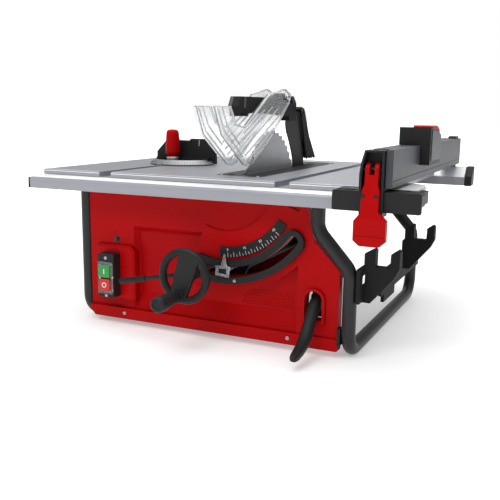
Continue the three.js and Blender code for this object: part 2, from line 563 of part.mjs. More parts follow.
// ---------------------------------------------------------------- mitre gauge
function mitreBar() {
  const slotFloor = TABLE.top - SLOT.depth;
  const half = SLOT.half - GAP;
  const bar = box(MITRE.pivotX - half, MITRE.pivotX + half, 192, 500, slotFloor + GAP, TABLE.top);
  return join(bar, rod([MITRE.pivotX, MITRE.pivotY, TABLE.top - 1], [MITRE.pivotX, MITRE.pivotY, 322], 3.2));
}
part('mitre_bar', mitreBar(), BRIGHT);
function mitreHead() {
  const c = { x: 163, y: 274 };
  const disc = turned([[0, 0], [75, 0], [75, 2], [67, 7], [0, 7]], [c.x, c.y, MITRE.base], [0, 0, 1], 40);
  const base = meet(disc, box(0, 300, 150, c.y, 300, 330));
  const shelf = alongZ([[c.x - 66, 262], [c.x + 66, 262], [c.x + 66, c.y], [c.x - 66, c.y]], MITRE.base, MITRE.base + 14);
  const boss = rod([MITRE.pivotX, MITRE.pivotY, MITRE.base], [MITRE.pivotX, MITRE.pivotY, 318], 11);
  return cut(join(base, shelf, boss), rod([MITRE.pivotX, MITRE.pivotY, 300], [MITRE.pivotX, MITRE.pivotY, 330], 3.6));
}
part('mitre_head', mitreHead(), BLACK);
function mitrePlate() {
  const face = [[91, 307], [240, 307], [240, 331], [216, 361], [178, 361], [176, 357], [146, 357], [144, 361], [120, 361],
    [91, 331]];
  return alongY(face, 274 + GAP, 286, { chamfer: 1.5 });
}
part('mitre_plate', mitrePlate(), BLACK);
const knobProfile = [[0, 0], [11, 0], [11.4, 5], [15.4, 11], [15.8, 26], [14.6, 46], [13.6, 57], [10.5, 61.5], [0, 63]];
function mitreKnob() {
  const body = turned(knobProfile, [MITRE.pivotX, MITRE.pivotY, 318 + GAP], [0, 0, 1], 20);
  return cut(body, rod([MITRE.pivotX, MITRE.pivotY, 310], [MITRE.pivotX, MITRE.pivotY, 328], 3.6));
}
part('mitre_knob', mitreKnob(), RED);

// ---------------------------------------------------------------- bevel trunnions and tilting frame
function trunnion(y0, y1) {
  const pads = [-1, 1].map((side) => box(PIVOT.x + side * 74 - 9, PIVOT.x + side * 74 + 9, y0, y1, 278, 294.7));
  return join(alongY(band(PIVOT.x, PIVOT.z, 70, 82, -70, 70, 20), y0, y1), ...pads);
}
const TRUNNION = { front: [56, 64], rear: [500, 508] };
part('trunnion_front', trunnion(...TRUNNION.front), STEEL);
part('trunnion_rear', trunnion(...TRUNNION.rear), STEEL);

const SPINE = { x0: 335, x1: 365, low: [104, 110], high: [284.5, 290] };
const POST = { x: 350, radius: 8, front: 152, rear: 322 };
function tiltFrame() {
  const { x0, x1, low, high } = SPINE;
  const frontFace = [[x0, low[0]], [400, low[0]], [425, 150], [425, 235], [400, 262], [372, high[1]], [x0, high[1]]];
  const rearFace = [[x0, low[0]], [x1, low[0]], [x1, 190], [408, 222], [408, 250], [372, high[1]], [x0, high[1]]];
  const shoe = band(PIVOT.x, PIVOT.z, 62, 86, -22, 14, 6);
  return cut(join(alongY(frontFace, 76, 84), alongY(rearFace, 484, 492),
    alongY(shoe, TRUNNION.front[1] + GAP, 77), alongY(shoe, 491, TRUNNION.rear[0] - GAP),
    box(x0, x1, 80, 488, ...low), box(x0, x1, 80, 488, ...high)),
  rod([WHEEL.x, 50, WHEEL.z], [WHEEL.x, 100, WHEEL.z], 6.3),
  rod([WHEEL.x, GEAR_APEX_Y, 280], [WHEEL.x, GEAR_APEX_Y, 300], 5.8));
}
part('tilt_frame', tiltFrame(), STEEL);
for (const [name, y] of [['guide_post_front', POST.front], ['guide_post_rear', POST.rear]]) {
  part(name, rod([POST.x, y, SPINE.low[1] + GAP], [POST.x, y, SPINE.high[0] - GAP], POST.radius), BRIGHT);
}
function bevelPointer() {
  const plate = alongY([[384, 121], [407, 121], [408, 141], [402, 147], [399.5, 168], [396.5, 168], [391, 149], [378, 145],
    [378, 140], [384, 137]], 10.5, 15.5);
  return join(plate, box(386, 394, 14, 76 - GAP, 128, 138));
}
part('bevel_pointer', bevelPointer(), BRIGHT);

// ---------------------------------------------------------------- handwheel, crank and lift screw
function bevelLock() {
  const y = -33;
  const at = (r) => [WHEEL.x - r * Math.cos(radians(11.7)), y, WHEEL.z - r * Math.sin(radians(11.7))];
  const hub = rod([WHEEL.x, -41, WHEEL.z], [WHEEL.x, -25, WHEEL.z], 13);
  const handle = join(hub, rod(at(8), at(104), 4, 4, 12), rod(at(100), at(157), 5.2, 6, 12));
  return cut(handle, rod([WHEEL.x, -50, WHEEL.z], [WHEEL.x, -20, WHEEL.z], 6.4));
}
part('bevel_lock_handle', bevelLock(), BLACK);

function handwheel() {
  const { x, z, rimY, rimRadius, rimTube } = WHEEL;
  const rim = new THREE.TorusGeometry(rimRadius, rimTube, 8, 32).rotateX(Math.PI / 2).translate(x, rimY, z);
  const hub = rod([x, rimY - 8, z], [x, -50, z], 15, 17);
  // one broad arm runs from the grip's lug through the hub to the far side of the rim
  const reach = Math.hypot(x - GRIP.x, z - GRIP.z);
  const [du, dv] = [(x - GRIP.x) / reach, (z - GRIP.z) / reach];
  const corner = (run, half) => [x + run * du - half * dv, z + run * dv + half * du];
  const arm = alongY([corner(-rimRadius, 16), corner(-rimRadius, -16), corner(-10, -19), corner(rimRadius, -21),
    corner(rimRadius, 21), corner(-10, 19)], rimY - 5.5, rimY + 4.5);
  const lug = rod([GRIP.x, rimY - 8, GRIP.z], [GRIP.x, rimY + 4, GRIP.z], 13);
  return join(rim, hub, arm, lug);
}
part('handwheel', handwheel(), BLACK);
const gripLength = GRIP.back - GRIP.front;
const gripProfile = [[0, 0], [GRIP.radius - 3, 0], [GRIP.radius, 4], [GRIP.radius, 36], [GRIP.radius - 3, gripLength - 4],
  [GRIP.radius - 4, gripLength], [0, gripLength]];
part('crank_grip', turned(gripProfile, [GRIP.x, GRIP.front, GRIP.z], [0, 1, 0], 20), BLACK);

const MITRE_TEETH = 14;
function elevationShaft() {
  const shaft = rod([WHEEL.x, -50 + GAP, WHEEL.z], [WHEEL.x, GEAR_APEX_Y - 21, WHEEL.z], 6);
  const gear = mitreGear(MITRE_TEETH, 14, 9.8, 0).translate([WHEEL.x, GEAR_APEX_Y, WHEEL.z]);
  return join(shaft, gear);
}
part('elevation_shaft', elevationShaft(), STEEL);
function leadScrew() {
  const gear = mitreGear(MITRE_TEETH, 14, 9.8, 0.5).rotate([-90, 0, 0]).translate([WHEEL.x, GEAR_APEX_Y, WHEEL.z]);
  return join(gear, rod([WHEEL.x, GEAR_APEX_Y, WHEEL.z + 20], [WHEEL.x, GEAR_APEX_Y, 289], 5.5));
}
part('lead_screw', leadScrew(), BRIGHT);

// ---------------------------------------------------------------- lifting unit: gearbox, motor and arbor
const MOTOR = { x0: 200, z: BLADE.z - 22.5, radius: 40, flange: 344.7, rotorEnd: 206 };
function liftCarriage() {
  const plate = alongX([[104, 242], [134, 242], [137, 225], [394, 225], [394, 262], [104, 262]], 366, 378);
  const gearbox = box(345, 378, 200, 250, 215, 281);
  const ears = [POST.front, POST.rear].map((y) => box(336, 368, y - 15, y + 15, 225, 262));
  const nut = box(343, 368, 104, 132, 242, 260);
  const knifeSeat = box(376, BLADE.x - 1.5, 360, 394, 232, 262);
  const body = join(plate, gearbox, ...ears, nut, knifeSeat);
  return cut(body, box(340, 372, 203, 247, 218, 278), rod([360, BLADE.y, BLADE.z], [385, BLADE.y, BLADE.z], 8.3),
    ...[POST.front, POST.rear].map((y) => rod([POST.x, y, 200], [POST.x, y, 290], POST.radius + GAP)),
    rod([WHEEL.x, GEAR_APEX_Y, 200], [WHEEL.x, GEAR_APEX_Y, 290], 5.8));
}
part('lift_carriage', liftCarriage(), CAST);

function motorHousing() {
  const { x0, z, radius, flange } = MOTOR;
  const shell = rod([x0, BLADE.y, z], [flange, BLADE.y, z], radius, radius, 28);
  const hollow = rod([x0 - 1, BLADE.y, z], [flange - 6, BLADE.y, z], radius - 3, radius - 3, 28);
  const bore = rod([flange - 10, BLADE.y, z], [flange + 5, BLADE.y, z], 6);
  return cut(shell, hollow, bore);
}
part('motor_housing', motorHousing(), BLACK);
const pinionX = [352, 362];
function motorRotor() {
  const { z, rotorEnd } = MOTOR;
  const shaft = rod([rotorEnd, BLADE.y, z], [pinionX[0] + 1, BLADE.y, z], 3.2, 3.2, 12);
  const core = rod([228, BLADE.y, z], [322, BLADE.y, z], 31, 31, 24);
  return join(shaft, core, alongX(gearOutline(BLADE.y, z, 4.5, 9, 0.9, 1.15), ...pinionX));
}
part('motor_rotor', motorRotor(), STEEL);

function arborShaft() {
  const { x, y, z, thick } = BLADE;
  const shaft = rod([348, y, z], [x + 14, y, z], 7.9);
  const flange = rod([x - 8, y, z], [x - thick / 2 - GAP, y, z], 24, 24, 24);
  return join(shaft, flange, alongX(gearOutline(y, z, 18, 36, 0.9, 1.15), ...pinionX));
}
part('arbor_shaft', arborShaft(), STEEL);
function arborNut() {
  const { x, y, z, thick } = BLADE;
  const start = x + thick / 2 + GAP;
  const washer = rod([start, y, z], [start + 3, y, z], 24, 24, 24);
  const hex = rod([start + 2, y, z], [x + 12, y, z], 14, 14, 6);
  return cut(join(washer, hex), rod([x, y, z], [x + 20, y, z], 8.2));
}
part('arbor_nut', arborNut(), STEEL);
function blade() {
  const { radius, x, y, z, thick, teeth, gullet } = BLADE;
  const edge = [];
  const step = 360 / teeth;
  for (let i = 0; i < teeth; i++) {
    const a = i * step;
    edge.push(...[[radius, 0], [radius - 1.5, 3.2], [radius - gullet, 5.4], [radius - gullet, 7.6]]
      .map(([r, turn]) => arc(y, z, r, a + turn, a, 1)[0]));
  }
  return alongX(edge, x - thick / 2, x + thick / 2, { holes: [circle(y, z, 8.2, 24)] });
}
part('blade', blade(), BRIGHT);

// ---------------------------------------------------------------- riving knife and guard
const knifeOutline = [[360, 234], [396, 234], [413, 300], [413, 318], [383, 412], [306, 412], [303, 396], [308, 382],
  [324, 362], [340, 338], [352, 312]];
part('riving_knife', alongX(knifeOutline, BLADE.x - 1.2, BLADE.x + 1.2), BLACK);

function guardArm() {
  const side = [[61, 448], [50, 430], [56, 413], [66, 413], [68, 419], [76, 419], [78, 413], [92, 413], [97, 419],
    [200, 418], [296, 413], [300, 404], [338, 404], [338, 440], [330, 448], [200, 449]];
  const { left, right, pivotY, pivotZ, pin } = SHIELD;
  const { y, z, r } = PAWL_PIVOT;
  const body = alongX(side, 383, 403);
  const boss = rod([383, pivotY, pivotZ], [403, pivotY, pivotZ], 9);
  const shieldPin = rod([left - 4, pivotY, pivotZ], [right + 4, pivotY, pivotZ], pin);
  const tongue = alongX([[330, 412 + GAP], [y + 4, 412 + GAP], [y + 9, z], [y + 2, 433], [330, 433]], 390, 396);
  const pawlPin = rod([384.5, y, z], [401.5, y, z], r);
  const groove = alongX(knifeOutline, BLADE.x - 1.5, BLADE.x + 1.5);
  const grooveTop = box(BLADE.x - 1.5, BLADE.x + 1.5, 302, 373, 400, 412 + GAP);
  return cut(join(body, boss, shieldPin, tongue, pawlPin), groove, grooveTop);
}
part('guard_arm', guardArm(), BLACK);

const shieldOutline = [[-55, 430], [-28, 382], [60, 326], [79, 322.5], [100, 326], [179, 372], [272, 441], [278, 457],
  [246, 467], [168, 455], [60, 394], [22, 400], [0, 430]];
const shieldPlate = (x) => cut(alongX(shieldOutline, x - SHIELD.half, x + SHIELD.half),
  rod([x - 5, SHIELD.pivotY, SHIELD.pivotZ], [x + 5, SHIELD.pivotY, SHIELD.pivotZ], SHIELD.pin + GAP));
part('guard_shield_left', shieldPlate(SHIELD.left), CLEAR);
part('guard_shield_right', shieldPlate(SHIELD.right), CLEAR);

function pawls() {
  const { y, z, r } = PAWL_PIVOT;
  const tines = [[478, 320], [470, 317], [463, 325], [455, 317], [448, 325], [440, 317], [433, 325], [425, 317]];
  const side = [[y - 9, z - 3], [y - 6, z + 8], [y + 4, z + 9], [y + 12, z + 2], [433, 369], ...tines, [417, 325]];
  const blades = [[386.5, 389.5], [396.5, 399.5]].map(([x0, x1]) => alongX(side, x0, x1));
  const bridge = alongX([[428, 352], [434, 360], [444, 345], [438, 338]], 387, 399);
  return cut(join(...blades, bridge), rod([380, y, z], [406, y, z], r + GAP));
}
part('kickback_pawls', pawls(), STEEL);

saw.position.set(-ORIGIN.x, -ORIGIN.y, 0);
saw.updateMatrixWorld(true);
export default saw;
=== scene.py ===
import math
import bmesh
import bpy
from mathutils import Matrix, Quaternion, Vector


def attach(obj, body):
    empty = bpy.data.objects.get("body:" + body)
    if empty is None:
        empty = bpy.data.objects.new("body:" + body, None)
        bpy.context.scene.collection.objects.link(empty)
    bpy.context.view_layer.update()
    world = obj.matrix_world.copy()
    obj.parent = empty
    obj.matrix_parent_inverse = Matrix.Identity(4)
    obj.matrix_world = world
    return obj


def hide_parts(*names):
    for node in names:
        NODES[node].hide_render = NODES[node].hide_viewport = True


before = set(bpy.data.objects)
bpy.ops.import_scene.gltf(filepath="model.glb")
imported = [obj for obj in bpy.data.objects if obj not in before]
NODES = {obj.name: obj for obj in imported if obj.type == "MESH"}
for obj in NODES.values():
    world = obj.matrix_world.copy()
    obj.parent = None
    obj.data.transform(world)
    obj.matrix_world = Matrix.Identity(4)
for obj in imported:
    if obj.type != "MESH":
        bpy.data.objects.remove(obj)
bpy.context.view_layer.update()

# ------------------------------------------------------------------ frame and main sizes
# lengths below are millimetres in the saw's own frame: x from the table's left edge, y from its front edge
MIDDLE = Vector((365.5, 241.5, 0.0))
MM = 0.001


def at(x, y, z):
    """A point given in the saw's own frame, as metres in the row frame."""
    return (Vector((x, y, z)) - MIDDLE) * MM


TABLE_TOP = 305.0
PIVOT = (390.0, TABLE_TOP)          # bevel axis, x and z
WHEEL = (355.0, -60.0, 136.6)       # middle of the crank wheel's rim
GRIP = (343.0, -133.0, 100.0)       # front end of the crank grip
BLADE = (393.0, 225.0, 258.0)
BLADE_RADIUS, BLADE_TEETH = 127.0, 40
SHIELDS = {"left": (375.5, -1), "right": (409.5, 1)}    # middle of each plate, and its outward side
MITRE_CENTRE = (163.0, 274.0)       # middle of the half round head, x and y
MITRE_PIVOT = (147.5, 250.0)
LOCK_PIVOT = (566.0, 52.0, 98.0)    # the pin of the rail lock lever
TUBE_RADIUS, TUBE_BEND = 12.27, 38.0
POINTER_ANGLE = 3.3                 # where the bevel pointer stands at rest, in degrees
BEVEL_FRONT = 23.9                  # front face of the bevel scale
BUTTON_FACE = -11.0                 # front face of the start and stop buttons
PRINT = 0.15                        # how far a printed mark stands proud
INSERT_SCREW = TABLE_TOP - 0.7      # base of the screws that are sunk into the throat insert
FRONT, BACK, UP, RIGHT = (0, -1, 0), (0, 1, 0), (0, 0, 1), (1, 0, 0)


# ------------------------------------------------------------------ materials
def new_material(name):
    mat = bpy.data.materials.new(name)
    mat.use_nodes = True
    nt = mat.node_tree
    nt.nodes.clear()
    out = nt.nodes.new("ShaderNodeOutputMaterial")
    bsdf = nt.nodes.new("ShaderNodeBsdfPrincipled")
    nt.links.new(bsdf.outputs[0], out.inputs[0])
    return mat, nt, bsdf


def coords(nt, scale):
    tc = nt.nodes.new("ShaderNodeTexCoord")
    mp = nt.nodes.new("ShaderNodeMapping")
    mp.inputs["Scale"].default_value = scale
    nt.links.new(tc.outputs["Object"], mp.inputs["Vector"])
    return mp.outputs[0]


def noise(nt, vector, scale, detail=4.0, rough=0.55):
    n = nt.nodes.new("ShaderNodeTexNoise")
    n.inputs["Scale"].default_value = scale
    n.inputs["Detail"].default_value = detail
    n.inputs["Roughness"].default_value = rough
    nt.links.new(vector, n.inputs["Vector"])
    return n.outputs["Fac"]


def ramp(nt, fac, low, high, lo_pos=0.3, hi_pos=0.7):
    r = nt.nodes.new("ShaderNodeValToRGB")
    r.color_ramp.elements[0].position = lo_pos
    r.color_ramp.elements[1].position = hi_pos
    r.color_ramp.elements[0].color = (*low, 1.0)
    r.color_ramp.elements[1].color = (*high, 1.0)
    nt.links.new(fac, r.inputs["Fac"])
    return r.outputs["Color"]


def bump(nt, bsdf, height, strength, distance):
    b = nt.nodes.new("ShaderNodeBump")
    b.inputs["Strength"].default_value = strength
    b.inputs["Distance"].default_value = distance
    nt.links.new(height, b.inputs["Height"])
    nt.links.new(b.outputs[0], bsdf.inputs["Normal"])


def shade(color, k):
    return tuple(min(1.0, c * k) for c in color)


def surface(name, color, rough, metal=0.0, spread=0.08, grain=(900.0, 0.12, 0.0001), stretch=(1, 1, 1),
            cloud=14.0, rough_spread=0.06, specular=0.5, coat=0.0):
    """A moulded, painted or machined surface: slow colour changes, finer roughness, grain in the bump."""
    mat, nt, bsdf = new_material(name)
    slow = noise(nt, coords(nt, stretch), cloud, 5.0)
    fine = noise(nt, coords(nt, stretch), grain[0], 3.0, 0.6)
    nt.links.new(ramp(nt, slow, shade(color, 1 - spread), shade(color, 1 + spread)),
                 bsdf.inputs["Base Color"])
    lo, hi = max(0.03, rough - rough_spread), min(1.0, rough + rough_spread)
    nt.links.new(ramp(nt, fine, (lo,) * 3, (hi,) * 3), bsdf.inputs["Roughness"])
    bsdf.inputs["Metallic"].default_value = metal
    bsdf.inputs["Specular IOR Level"].default_value = specular
    if coat:
        bsdf.inputs["Coat Weight"].default_value = coat
        bsdf.inputs["Coat Roughness"].default_value = 0.15
    bump(nt, bsdf, fine, grain[1], grain[2])
    return mat


def clear_plastic(name, through, tint):
    """A moulded clear sheet that is slightly wavy."""
    mat, nt, bsdf = new_material(name)
    vec = coords(nt, (1, 1, 1))
    cloud = noise(nt, vec, 40.0, 4.0)
    nt.links.new(ramp(nt, cloud, shade(tint, 0.95), tint), bsdf.inputs["Base Color"])
    nt.links.new(ramp(nt, cloud, (0.05,) * 3, (0.14,) * 3), bsdf.inputs["Roughness"])
    bsdf.inputs["Transmission Weight"].default_value = through
    bsdf.inputs["IOR"].default_value = 1.4
    bump(nt, bsdf, noise(nt, vec, 90.0, 2.0), 0.06, 0.00005)
    return mat


M = {
    "cast_top": surface("cast_top", (0.33, 0.34, 0.37), 0.40, 0.55, 0.05, (260.0, 0.10, 0.00006),
                        (9, 0.35, 9), 8.0),
    "rail": surface("rail", (0.30, 0.31, 0.34), 0.38, 0.3, 0.05, (300.0, 0.08, 0.00002), (0.3, 8, 8), 8.0),
    "red": surface("red", (0.40, 0.0014, 0.0024), 0.40, 0.0, 0.05, (1300.0, 0.10, 0.00008), specular=0.07),
    "black": surface("black", (0.013, 0.0133, 0.014), 0.48, 0.0, 0.14, (1500.0, 0.22, 0.00012),
                     specular=0.22),
    "grip": surface("grip", (0.013, 0.013, 0.014), 0.56, 0.0, 0.15, (1100.0, 0.30, 0.00015), specular=0.3),
    "tube": surface("tube", (0.016, 0.0165, 0.018), 0.40, 0.1, 0.10, (1700.0, 0.25, 0.00010), specular=0.35),
    "fence": surface("fence", (0.052, 0.055, 0.066), 0.46, 0.1, 0.06, (420.0, 0.08, 0.00003), (8, 0.3, 8),
                     specular=0.3),
    "block_cover": surface("block_cover", (0.048, 0.051, 0.055), 0.46, 0.0, 0.08, (1300.0, 0.2, 0.0001)),
    "steel": surface("steel", (0.38, 0.39, 0.40), 0.38, 0.85, 0.08, (500.0, 0.06, 0.00001)),
    "bright": surface("bright", (0.56, 0.57, 0.59), 0.30, 0.85, 0.05, (420.0, 0.05, 0.000008), (1, 0.2, 1)),
    "cast_alloy": surface("cast_alloy", (0.36, 0.37, 0.39), 0.55, 0.7, 0.10, (700.0, 0.35, 0.00025)),
    "knife": surface("knife", (0.009, 0.009, 0.010), 0.50, 0.0, 0.10, (700.0, 0.12, 0.00008), specular=0.2),
    "green": surface("green", (0.02, 0.27, 0.05), 0.34, 0.0, 0.06, specular=0.4),
    "button_red": surface("button_red", (0.52, 0.010, 0.012), 0.34, 0.0, 0.06, specular=0.4),
    "white_print": surface("white_print", (0.72, 0.72, 0.72), 0.45, 0.0, 0.05),
    "zinc": surface("zinc", (0.52, 0.53, 0.54), 0.30, 0.85, 0.06, (600.0, 0.06, 0.00001)),
    "carbide": surface("carbide", (0.30, 0.31, 0.33), 0.30, 0.8, 0.06, (900.0, 0.10, 0.00004)),
    "dark_screw": surface("dark_screw", (0.03, 0.03, 0.033), 0.32, 0.5, 0.10, (700.0, 0.12, 0.00006)),
    "black_matte": surface("black_matte", (0.017, 0.0175, 0.018), 0.62, 0.0, 0.12, (1500.0, 0.2, 0.0001),
                           specular=0.10),
    # The next three are lighter copies that paint highlights: the black and red ones on rounded edges, the
    # pale one on the table's rounded edges and on the bright faces of its front edge and the rails.
    "black_highlight": surface("black_highlight", (0.045, 0.046, 0.049), 0.45, 0.0, 0.10, (1500.0, 0.1, 0.00006),
                          specular=0.4),
    "red_highlight": surface("red_highlight", (0.72, 0.010, 0.012), 0.36, 0.0, 0.05, (1300.0, 0.1, 0.00005),
                        specular=0.35),
    "pale_highlight": surface("pale_highlight", (0.86, 0.87, 0.89), 0.42, 0.25, 0.04, (400.0, 0.05, 0.00001)),
    "band_steel": surface("band_steel", (0.27, 0.275, 0.28), 0.36, 0.7, 0.08, (300.0, 0.05, 0.000008)),
    "blade_steel": surface("blade_steel", (0.34, 0.345, 0.36), 0.36, 0.75, 0.06, (300.0, 0.05, 0.000008)),
    # A near black that paints the shade inside the cabinet on the trunnions and tilt frame, and the shade
    # inside the lever's sockets.
    "shade_dark": surface("shade_dark", (0.020, 0.020, 0.021), 0.60, 0.0, 0.12, (700.0, 0.3, 0.0002),
                         specular=0.15),
    "clear": clear_plastic("clear", 0.90, (0.95, 0.96, 0.97)),
    "clear_edge": clear_plastic("clear_edge", 0.62, (0.98, 0.99, 1.0)),
    "clear_lens": clear_plastic("clear_lens", 0.95, (0.95, 0.97, 0.97)),
}

# ------------------------------------------------------------------ edges, and pieces made from mesh code
SMOOTH_ANGLE = math.radians(32)
BEVEL_ANGLE = math.radians(34)


def work_edges(obj, width, segments=2, dissolve=True):
    """Rounds a faceted solid's edges and shades its curves smooth. A second material, where there is one,
    paints a highlight on the rounded edges.
    """
    if dissolve:
        d = obj.modifiers.new("planar", "DECIMATE")
        d.decimate_type = "DISSOLVE"
        d.angle_limit = math.radians(0.6)
    if width:
        b = obj.modifiers.new("edges", "BEVEL")
        b.width = width * MM
        b.segments = segments
        b.limit_method = "ANGLE"
        b.angle_limit = BEVEL_ANGLE
        b.use_clamp_overlap = True
        b.miter_outer = "MITER_ARC"
        # the second material paints a highlight on the rounded edges
        if len(obj.data.materials) > 1:
            b.material = 1
    for p in obj.data.polygons:
        p.use_smooth = True
    obj.data.set_sharp_from_angle(angle=SMOOTH_ANGLE)
    w = obj.modifiers.new("normals", "WEIGHTED_NORMAL")
    w.keep_sharp = True
    w.weight = 60


# Lighter copies of each material, for a painted highlight on rounded edges.
EDGE_HIGHLIGHTS = {"cast_top": "pale_highlight", "red": "red_highlight", "black": "black_highlight"}


def paint(obj, mat, edges=False):
    """Gives a piece its material, and its rounded edges the lighter copy that paints a highlight on them."""
    obj.data.materials.clear()
    obj.data.materials.append(M[mat])
    if edges and mat in EDGE_HIGHLIGHTS:
        obj.data.materials.append(M[EDGE_HIGHLIGHTS[mat]])


def piece(name, bm, mat, body, edge=0.0, segments=2, replaces=()):
    """Turns the mesh code's result into a finished piece that rides on a body."""
    bmesh.ops.recalc_face_normals(bm, faces=bm.faces)
    mesh = bpy.data.meshes.new(name)
    bm.to_mesh(mesh)
    bm.free()
    obj = bpy.data.objects.new(name, mesh)
    bpy.context.scene.collection.objects.link(obj)
    paint(obj, mat)
    work_edges(obj, edge, segments, dissolve=False)
    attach(obj, body)
    if replaces:
        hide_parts(*replaces)
    return obj


def on_axis(axis, u, v, w):
    """A point from two coordinates in a plane and one along the named axis."""
    return {"x": (w, u, v), "y": (u, w, v), "z": (u, v, w)}[axis]


def add_slab(bm, points, lo, hi, axis):
    """A plate with the given outline: (y, z) for axis x, (x, z) for y, (x, y) for z."""
    low = [bm.verts.new(at(*on_axis(axis, u, v, lo))) for u, v in points]
    high = [bm.verts.new(at(*on_axis(axis, u, v, hi))) for u, v in points]
    bm.faces.new(low)
    bm.faces.new(high[::-1])
    count = len(points)
    for i in range(count):
        j = (i + 1) % count
        bm.faces.new((low[i], low[j], high[j], high[i]))


def add_block(bm, centre, *half):
    """A block from its middle and three half edges, given as vectors."""
    c, (a, b, d) = Vector(centre), (Vector(h) for h in half)
    corner = {}
    for i in (-1, 1):
        for j in (-1, 1):
            for k in (-1, 1):
                corner[i, j, k] = bm.verts.new(at(*(c + a * i + b * j + d * k)))
    for s in (-1, 1):
        for order in (lambda p, q: (s, p, q), lambda p, q: (p, s, q), lambda p, q: (p, q, s)):
            bm.faces.new([corner[order(p, q)] for p, q in ((-1, -1), (1, -1), (1, 1), (-1, 1))])


def ring_frame(direction):
    """Two directions across the given one, and that one itself."""
    w = Vector(direction).normalized()
    u = w.orthogonal().normalized()
    return u, w.cross(u), w


def bridge(bm, first, second):
    """Faces between two rings of vertices; a ring of one vertex makes a fan."""
    count = max(len(first), len(second))
    for k in range(count):
        corners = [first[k % len(first)], first[(k + 1) % len(first)],
                   second[(k + 1) % len(second)], second[k % len(second)]]
        corners = list(dict.fromkeys(corners))
        if len(corners) > 2:
            bm.faces.new(corners)


def add_circle(bm, centre, u, v, radius, sides):
    """A ring of vertices round a centre, in the plane of u and v."""
    turns = [2 * math.pi * k / sides for k in range(sides)]
    return [bm.verts.new(at(*(centre + (u * math.cos(a) + v * math.sin(a)) * radius))) for a in turns]


def add_lathe(bm, profile, base, direction, sides=48, closed=False):
    """A turned solid: a profile of (radius, height) along direction from base."""
    u, v, w = ring_frame(direction)
    base = Vector(base)
    rings = []
    for r, h in profile:
        centre = base + w * h
        rings.append(add_circle(bm, centre, u, v, r, sides) if r else [bm.verts.new(at(*centre))])
    for first, second in zip(rings, rings[1:]):
        bridge(bm, first, second)
    if closed:
        bridge(bm, rings[-1], rings[0])
        return
    for ring in (rings[0], rings[-1]):
        if len(ring) > 1:
            bm.faces.new(ring)


def add_sweep(bm, points, radius, sides=24):
    """A round bar along a path, with flat ends."""
    points = [Vector(p) for p in points]
    last = len(points) - 1
    u, v, w = ring_frame(points[1] - points[0])
    rings = []
    for i, p in enumerate(points):
        before, after = points[max(i - 1, 0)], points[min(i + 1, last)]
        along = ((p - before).normalized() + (after - p).normalized()).normalized()
        turn = w.rotation_difference(along)
        u, v, w = turn @ u, turn @ v, along
        rings.append(add_circle(bm, p, u, v, radius, sides))
    for first, second in zip(rings, rings[1:]):
        bridge(bm, first, second)
    bm.faces.new(rings[0])
    bm.faces.new(rings[-1])


def bent_path(corners, radius, steps=10):
    """Straight runs between corners, with each corner turned into an arc."""
    pts = [Vector(c) for c in corners]
    path = [pts[0]]
    for before, corner, after in zip(pts, pts[1:], pts[2:]):
        back, on = (before - corner).normalized(), (after - corner).normalized()
        half = back.angle(on) / 2
        centre = corner + (back + on).normalized() * (radius / math.sin(half))
        start = corner + back * (radius / math.tan(half)) - centre
        end = corner + on * (radius / math.tan(half)) - centre
        turn = start.rotation_difference(end)
        for k in range(steps + 1):
            path.append(centre + Quaternion().slerp(turn, k / steps) @ start)
    return path + [pts[-1]]


def fan_point(radius, angle, centre=PIVOT):
    """A point at an angle in degrees from straight down, positive to the right."""
    a = math.radians(angle)
    return centre[0] + radius * math.sin(a), centre[1] - radius * math.cos(a)


def fan_band(inner, outer, start, stop, steps, centre=PIVOT):
    """The outline of a curved band between two angles."""
    angles = [start + (stop - start) * i / steps for i in range(steps + 1)]
    return [fan_point(outer, a, centre) for a in angles] + [fan_point(inner, a,
                                                                      centre) for a in reversed(angles)]


def lettering(name, text, size, place, turn, body, mat="white_print"):
    """A generic number in raised print on a front face, its foot turned by an angle in degrees."""
    curve = bpy.data.curves.new(name, "FONT")
    curve.body = text
    curve.size = size * MM
    curve.extrude = 0.1 * MM
    curve.align_x = "CENTER"
    curve.align_y = "CENTER"
    maker = bpy.data.objects.new(name + "_maker", curve)
    bpy.context.scene.collection.objects.link(maker)
    mesh = bpy.data.meshes.new_from_object(maker.evaluated_get(bpy.context.evaluated_depsgraph_get()))
    bpy.data.objects.remove(maker)
    mesh.transform(Matrix.Translation(at(*place)) @ Matrix.Rotation(math.radians(90), 4, "X")
                   @ Matrix.Rotation(math.radians(turn), 4, "Z"))
    obj = bpy.data.objects.new(name, mesh)
    bpy.context.scene.collection.objects.link(obj)
    paint(obj, mat)
    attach(obj, body)
    return obj


